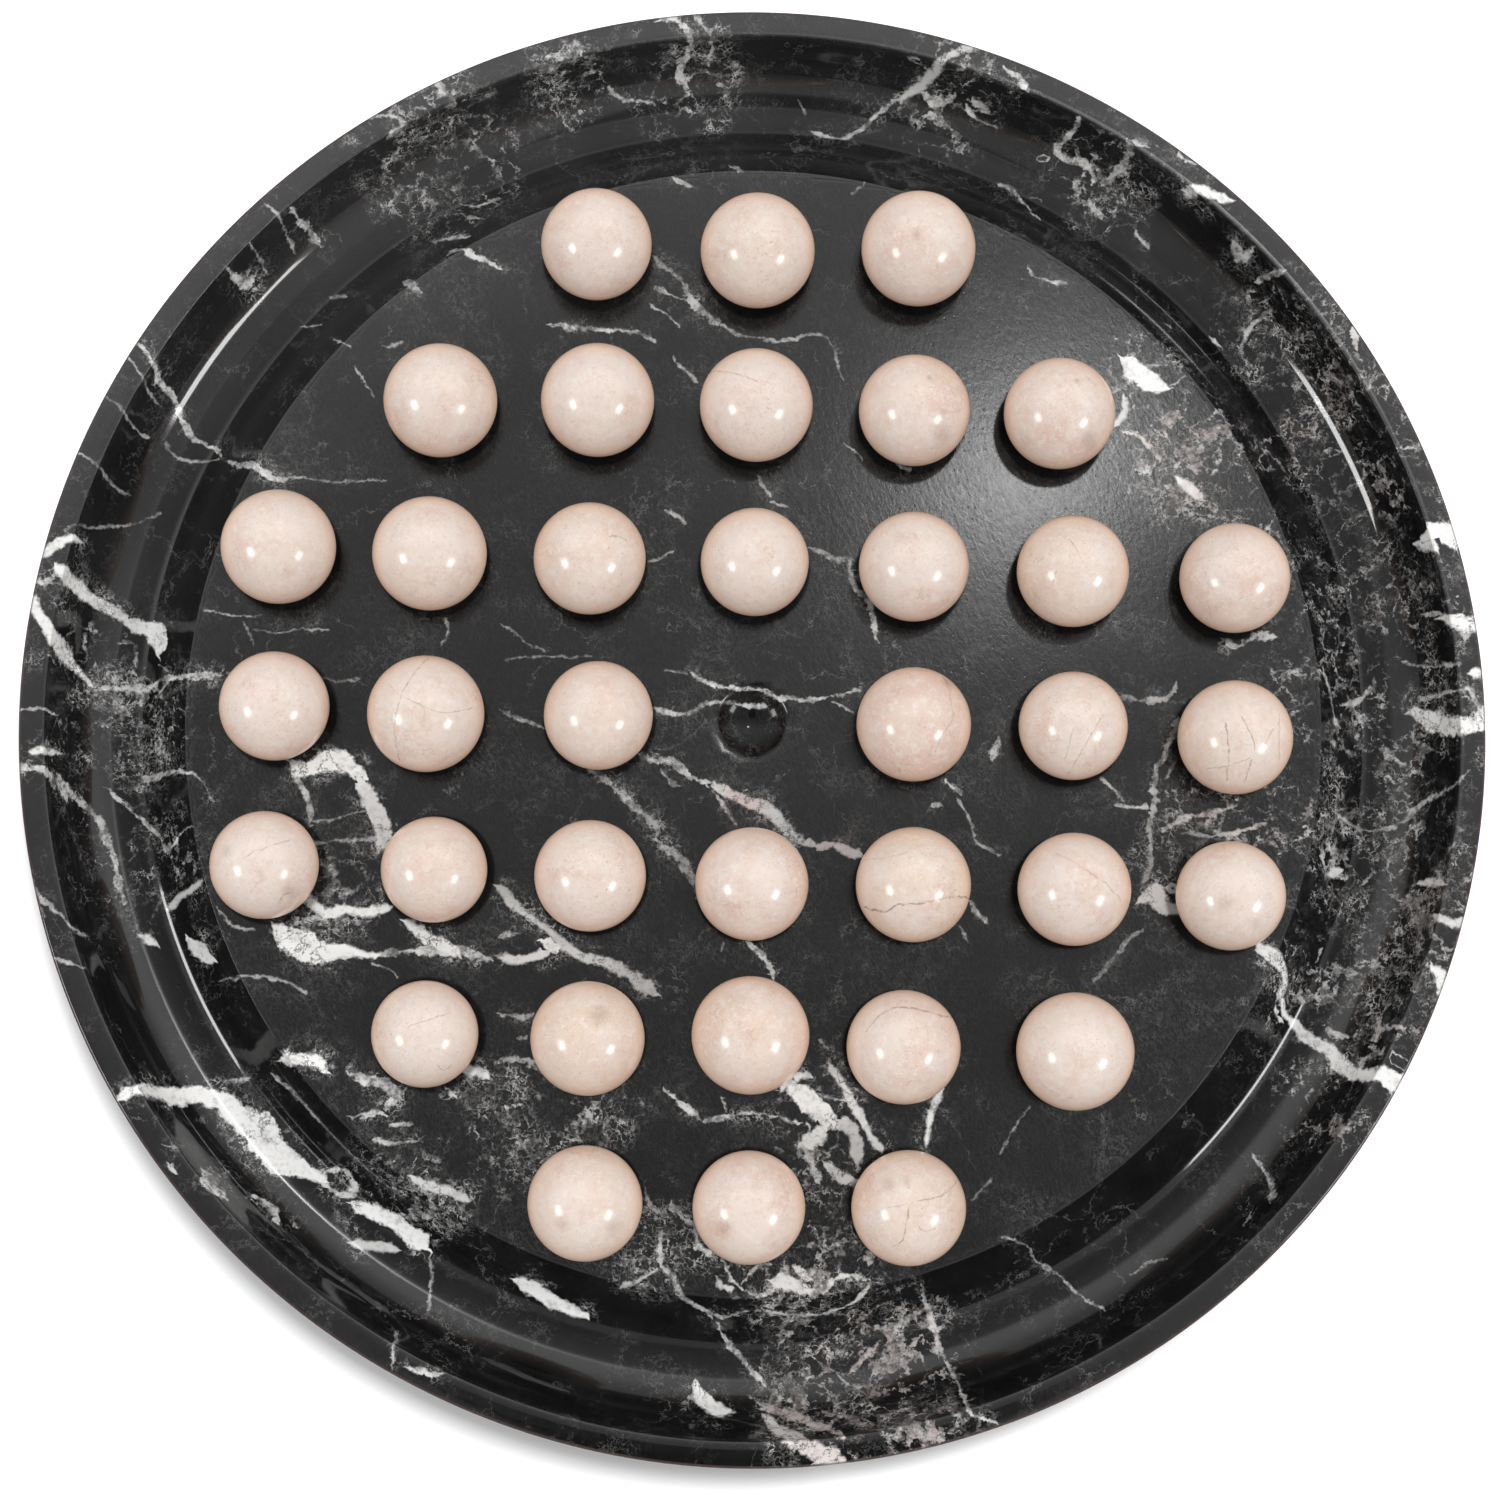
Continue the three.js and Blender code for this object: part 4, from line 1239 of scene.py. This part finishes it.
def mark_ball(mesh, seat, radius):
    """Stores a ball's tones, spots and cracks in its mesh, which is still centred on the origin."""
    places, corner_vertex, corner_face, middles = faces_from_above(mesh)
    tones = np.tile(BALL_TONES.get(seat, BALL_USUAL), (len(places), 1))
    store(mesh, "ball_tone", "FLOAT_VECTOR", "POINT", tones)
    spots = np.zeros(len(places))
    on_top = places[:, 2] > 0
    for x, y, size, strength in BALL_SPOTS.get(seat, ()):
        spot = fade(places, x * radius, y * radius, size * radius, 1.4)
        spots = np.maximum(spots, spot * strength * on_top)
    store(mesh, "ball_spot", "FLOAT", "POINT", spots)
    cracks = [(dark, *((x * radius, y * radius, width) for x, y, width in turns))
              for dark, *turns in BALL_CRACKS.get(seat, ())]
    stored = nearest_veins(places, corner_vertex, corner_face, middles, cracks)
    stored[~on_top[corner_vertex]] = NO_VEIN
    store(mesh, "ball_crack", "FLOAT_VECTOR", "CORNER", stored)


def build_marbles():
    material = ball_marble()
    pieces = []
    for name in marble_names:
        seat = name.removeprefix("marble_")
        low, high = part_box(name)
        middle = (low + high) / 2
        radius = (high.z - low.z) / 2
        mesh = bmesh.new()
        bmesh.ops.create_icosphere(mesh, subdivisions=5, radius=radius)
        data = bpy.data.meshes.new(name + "_stone")
        mesh.to_mesh(data)
        mesh.free()
        piece = new_object(name + "_stone", data, material)
        mark_ball(data, seat, radius / MM)
        data.transform(Matrix.Translation(middle))
        place(piece, name, name)
        pieces.append(piece)
    return pieces


def build_felt():
    low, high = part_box("felt_backing")
    radius = (high.x - low.x) / 2
    ease = FELT_EASE * MM
    mesh = bmesh.new()
    section = [(radius * i / 8, low.z) for i in range(1, 8)]
    section += [(radius - ease, low.z), (radius, low.z + ease)]
    section += [(radius, high.z - ease), (radius - ease, high.z)]
    section += [(radius * i / 8, high.z) for i in range(7, 0, -1)]
    rings = [ring_of_vertices(mesh, ring_radius, height, FELT_SEGMENTS) for ring_radius, height in section]
    close(mesh, rings[0], mesh.verts.new((0, 0, low.z)))
    close(mesh, rings[-1], mesh.verts.new((0, 0, high.z)))
    for first, second in zip(rings, rings[1:]):
        bridge(mesh, first, second)
    data = finished(mesh, "felt_cloth")
    piece = new_object("felt_cloth", data, felt_cloth())
    place(piece, "board", "felt_backing")
    return piece


def build_floor():
    mesh = bmesh.new()
    bmesh.ops.create_grid(mesh, x_segments=8, y_segments=8, size=FLOOR_SIZE * MM)
    data = bpy.data.meshes.new("studio_floor")
    mesh.to_mesh(data)
    mesh.free()
    floor = new_object("studio_floor", data, pale_floor())
    floor.visible_glossy = False
    return floor


def build_camera():
    camera = bpy.data.objects.new("camera", bpy.data.cameras.new("camera"))
    bpy.context.scene.collection.objects.link(camera)
    back = (CAMERA_PLACE - CAMERA_AIM).normalized()
    right = (Vector((1, 0, 0)) - back * back.x).normalized()
    up = back.cross(right)
    axes = Matrix((right, up, back)).transposed() @ Matrix.Rotation(CAMERA_ROLL, 3, "Z")
    camera.matrix_world = Matrix.Translation(CAMERA_PLACE) @ axes.to_4x4()
    camera.data.lens = CAMERA_LENS
    camera.data.clip_start = 0.01
    bpy.context.scene.camera = camera


def softbox(name, direction, away, size, radiance, centre=(0, 0, PLATEAU_TOP)):
    """A rectangular area light that shines on the board with that radiance."""
    light = bpy.data.lights.new(name, "AREA")
    light.shape = "RECTANGLE"
    light.size = size[0] * MM
    light.size_y = size[1] * MM
    light.energy = radiance * math.pi * light.size * light.size_y
    lamp = bpy.data.objects.new(name, light)
    aim = Vector(direction).normalized()
    lamp.location = Vector(centre) * MM + aim * away * MM
    lamp.rotation_euler = aim.to_track_quat("Z", "Y").to_euler()
    bpy.context.scene.collection.objects.link(lamp)
    return lamp


def light_only(lamp, pieces):
    """Makes a lamp light those pieces and nothing else; everything still casts its shadow."""
    lit = bpy.data.collections.new("lit_by_" + lamp.name)
    for piece in pieces:
        lit.objects.link(piece)
    lamp.light_linking.receiver_collection = lit


def build_lights(floor, board_stone, others):
    left = softbox("lamp_left", LAMP_LEFT, LAMP_AWAY, LAMP_SIZE, LAMP_RADIANCE)
    right = softbox("lamp_right", LAMP_RIGHT, LAMP_AWAY, LAMP_SIZE, LAMP_RADIANCE)
    over = softbox("lamp_over", LAMP_OVER, LAMP_OVER_AWAY, LAMP_OVER_SIZE, LAMP_OVER_RADIANCE, LAMP_OVER_AIM)
    above = softbox("lamp_floor", LAMP_FLOOR, LAMP_FLOOR_AWAY, LAMP_FLOOR_SIZE, LAMP_FLOOR_RADIANCE)
    light_only(left, [board_stone, *others])
    light_only(right, [board_stone, *others])
    light_only(over, [board_stone])
    light_only(above, [floor])


def build_world():
    """A sky that is brightest at the back, dim at the horizon, dark where the photographer stands
    at the front, and white where the camera sees it."""
    world = bpy.data.worlds.new("studio")
    bpy.context.scene.world = world
    g = Graph(world)
    x, y, z = g.split(g.add("TexCoord", "Generated", {}))
    height = g.larger(z, 0.05)
    forward = y / height
    sideways = x / height
    aside = abs(sideways - 0.02)
    sky = g.ramp(forward, -0.1, 0.42, 0.75, 1.7) + g.ramp(sideways, -0.12, 0.3, -0.12, 0.06)
    sky = sky * g.ramp(z, 0.0, 0.8, 0.38, 1.0) * g.ramp(forward, 0.45, 1.6, 1.0, 0.7)
    shade = g.ramp(forward, -0.085, -0.14) * g.ramp(forward, -0.9, -0.6) * g.ramp(aside, 0.17, 0.1)
    sky = sky * (1.0 - shade * 0.92)
    strength = g.larger(sky, g.add("LightPath", "Is Camera Ray", {}))
    background = g.nodes.new("ShaderNodeBackground")
    background.inputs["Color"].default_value = (1, 1, 1, 1)
    g.put(background.inputs["Strength"], strength)
    output = g.nodes.new("ShaderNodeOutputWorld")
    g.links.new(background.outputs[0], output.inputs[0])


marble_names = sorted(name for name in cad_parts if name.startswith("marble_"))

build_camera()
build_world()
floor = build_floor()
felt = build_felt()
board_stone = build_board()
marbles = build_marbles()
build_lights(floor, board_stone, [felt, *marbles])
bpy.context.scene.view_settings.view_transform = "Standard"
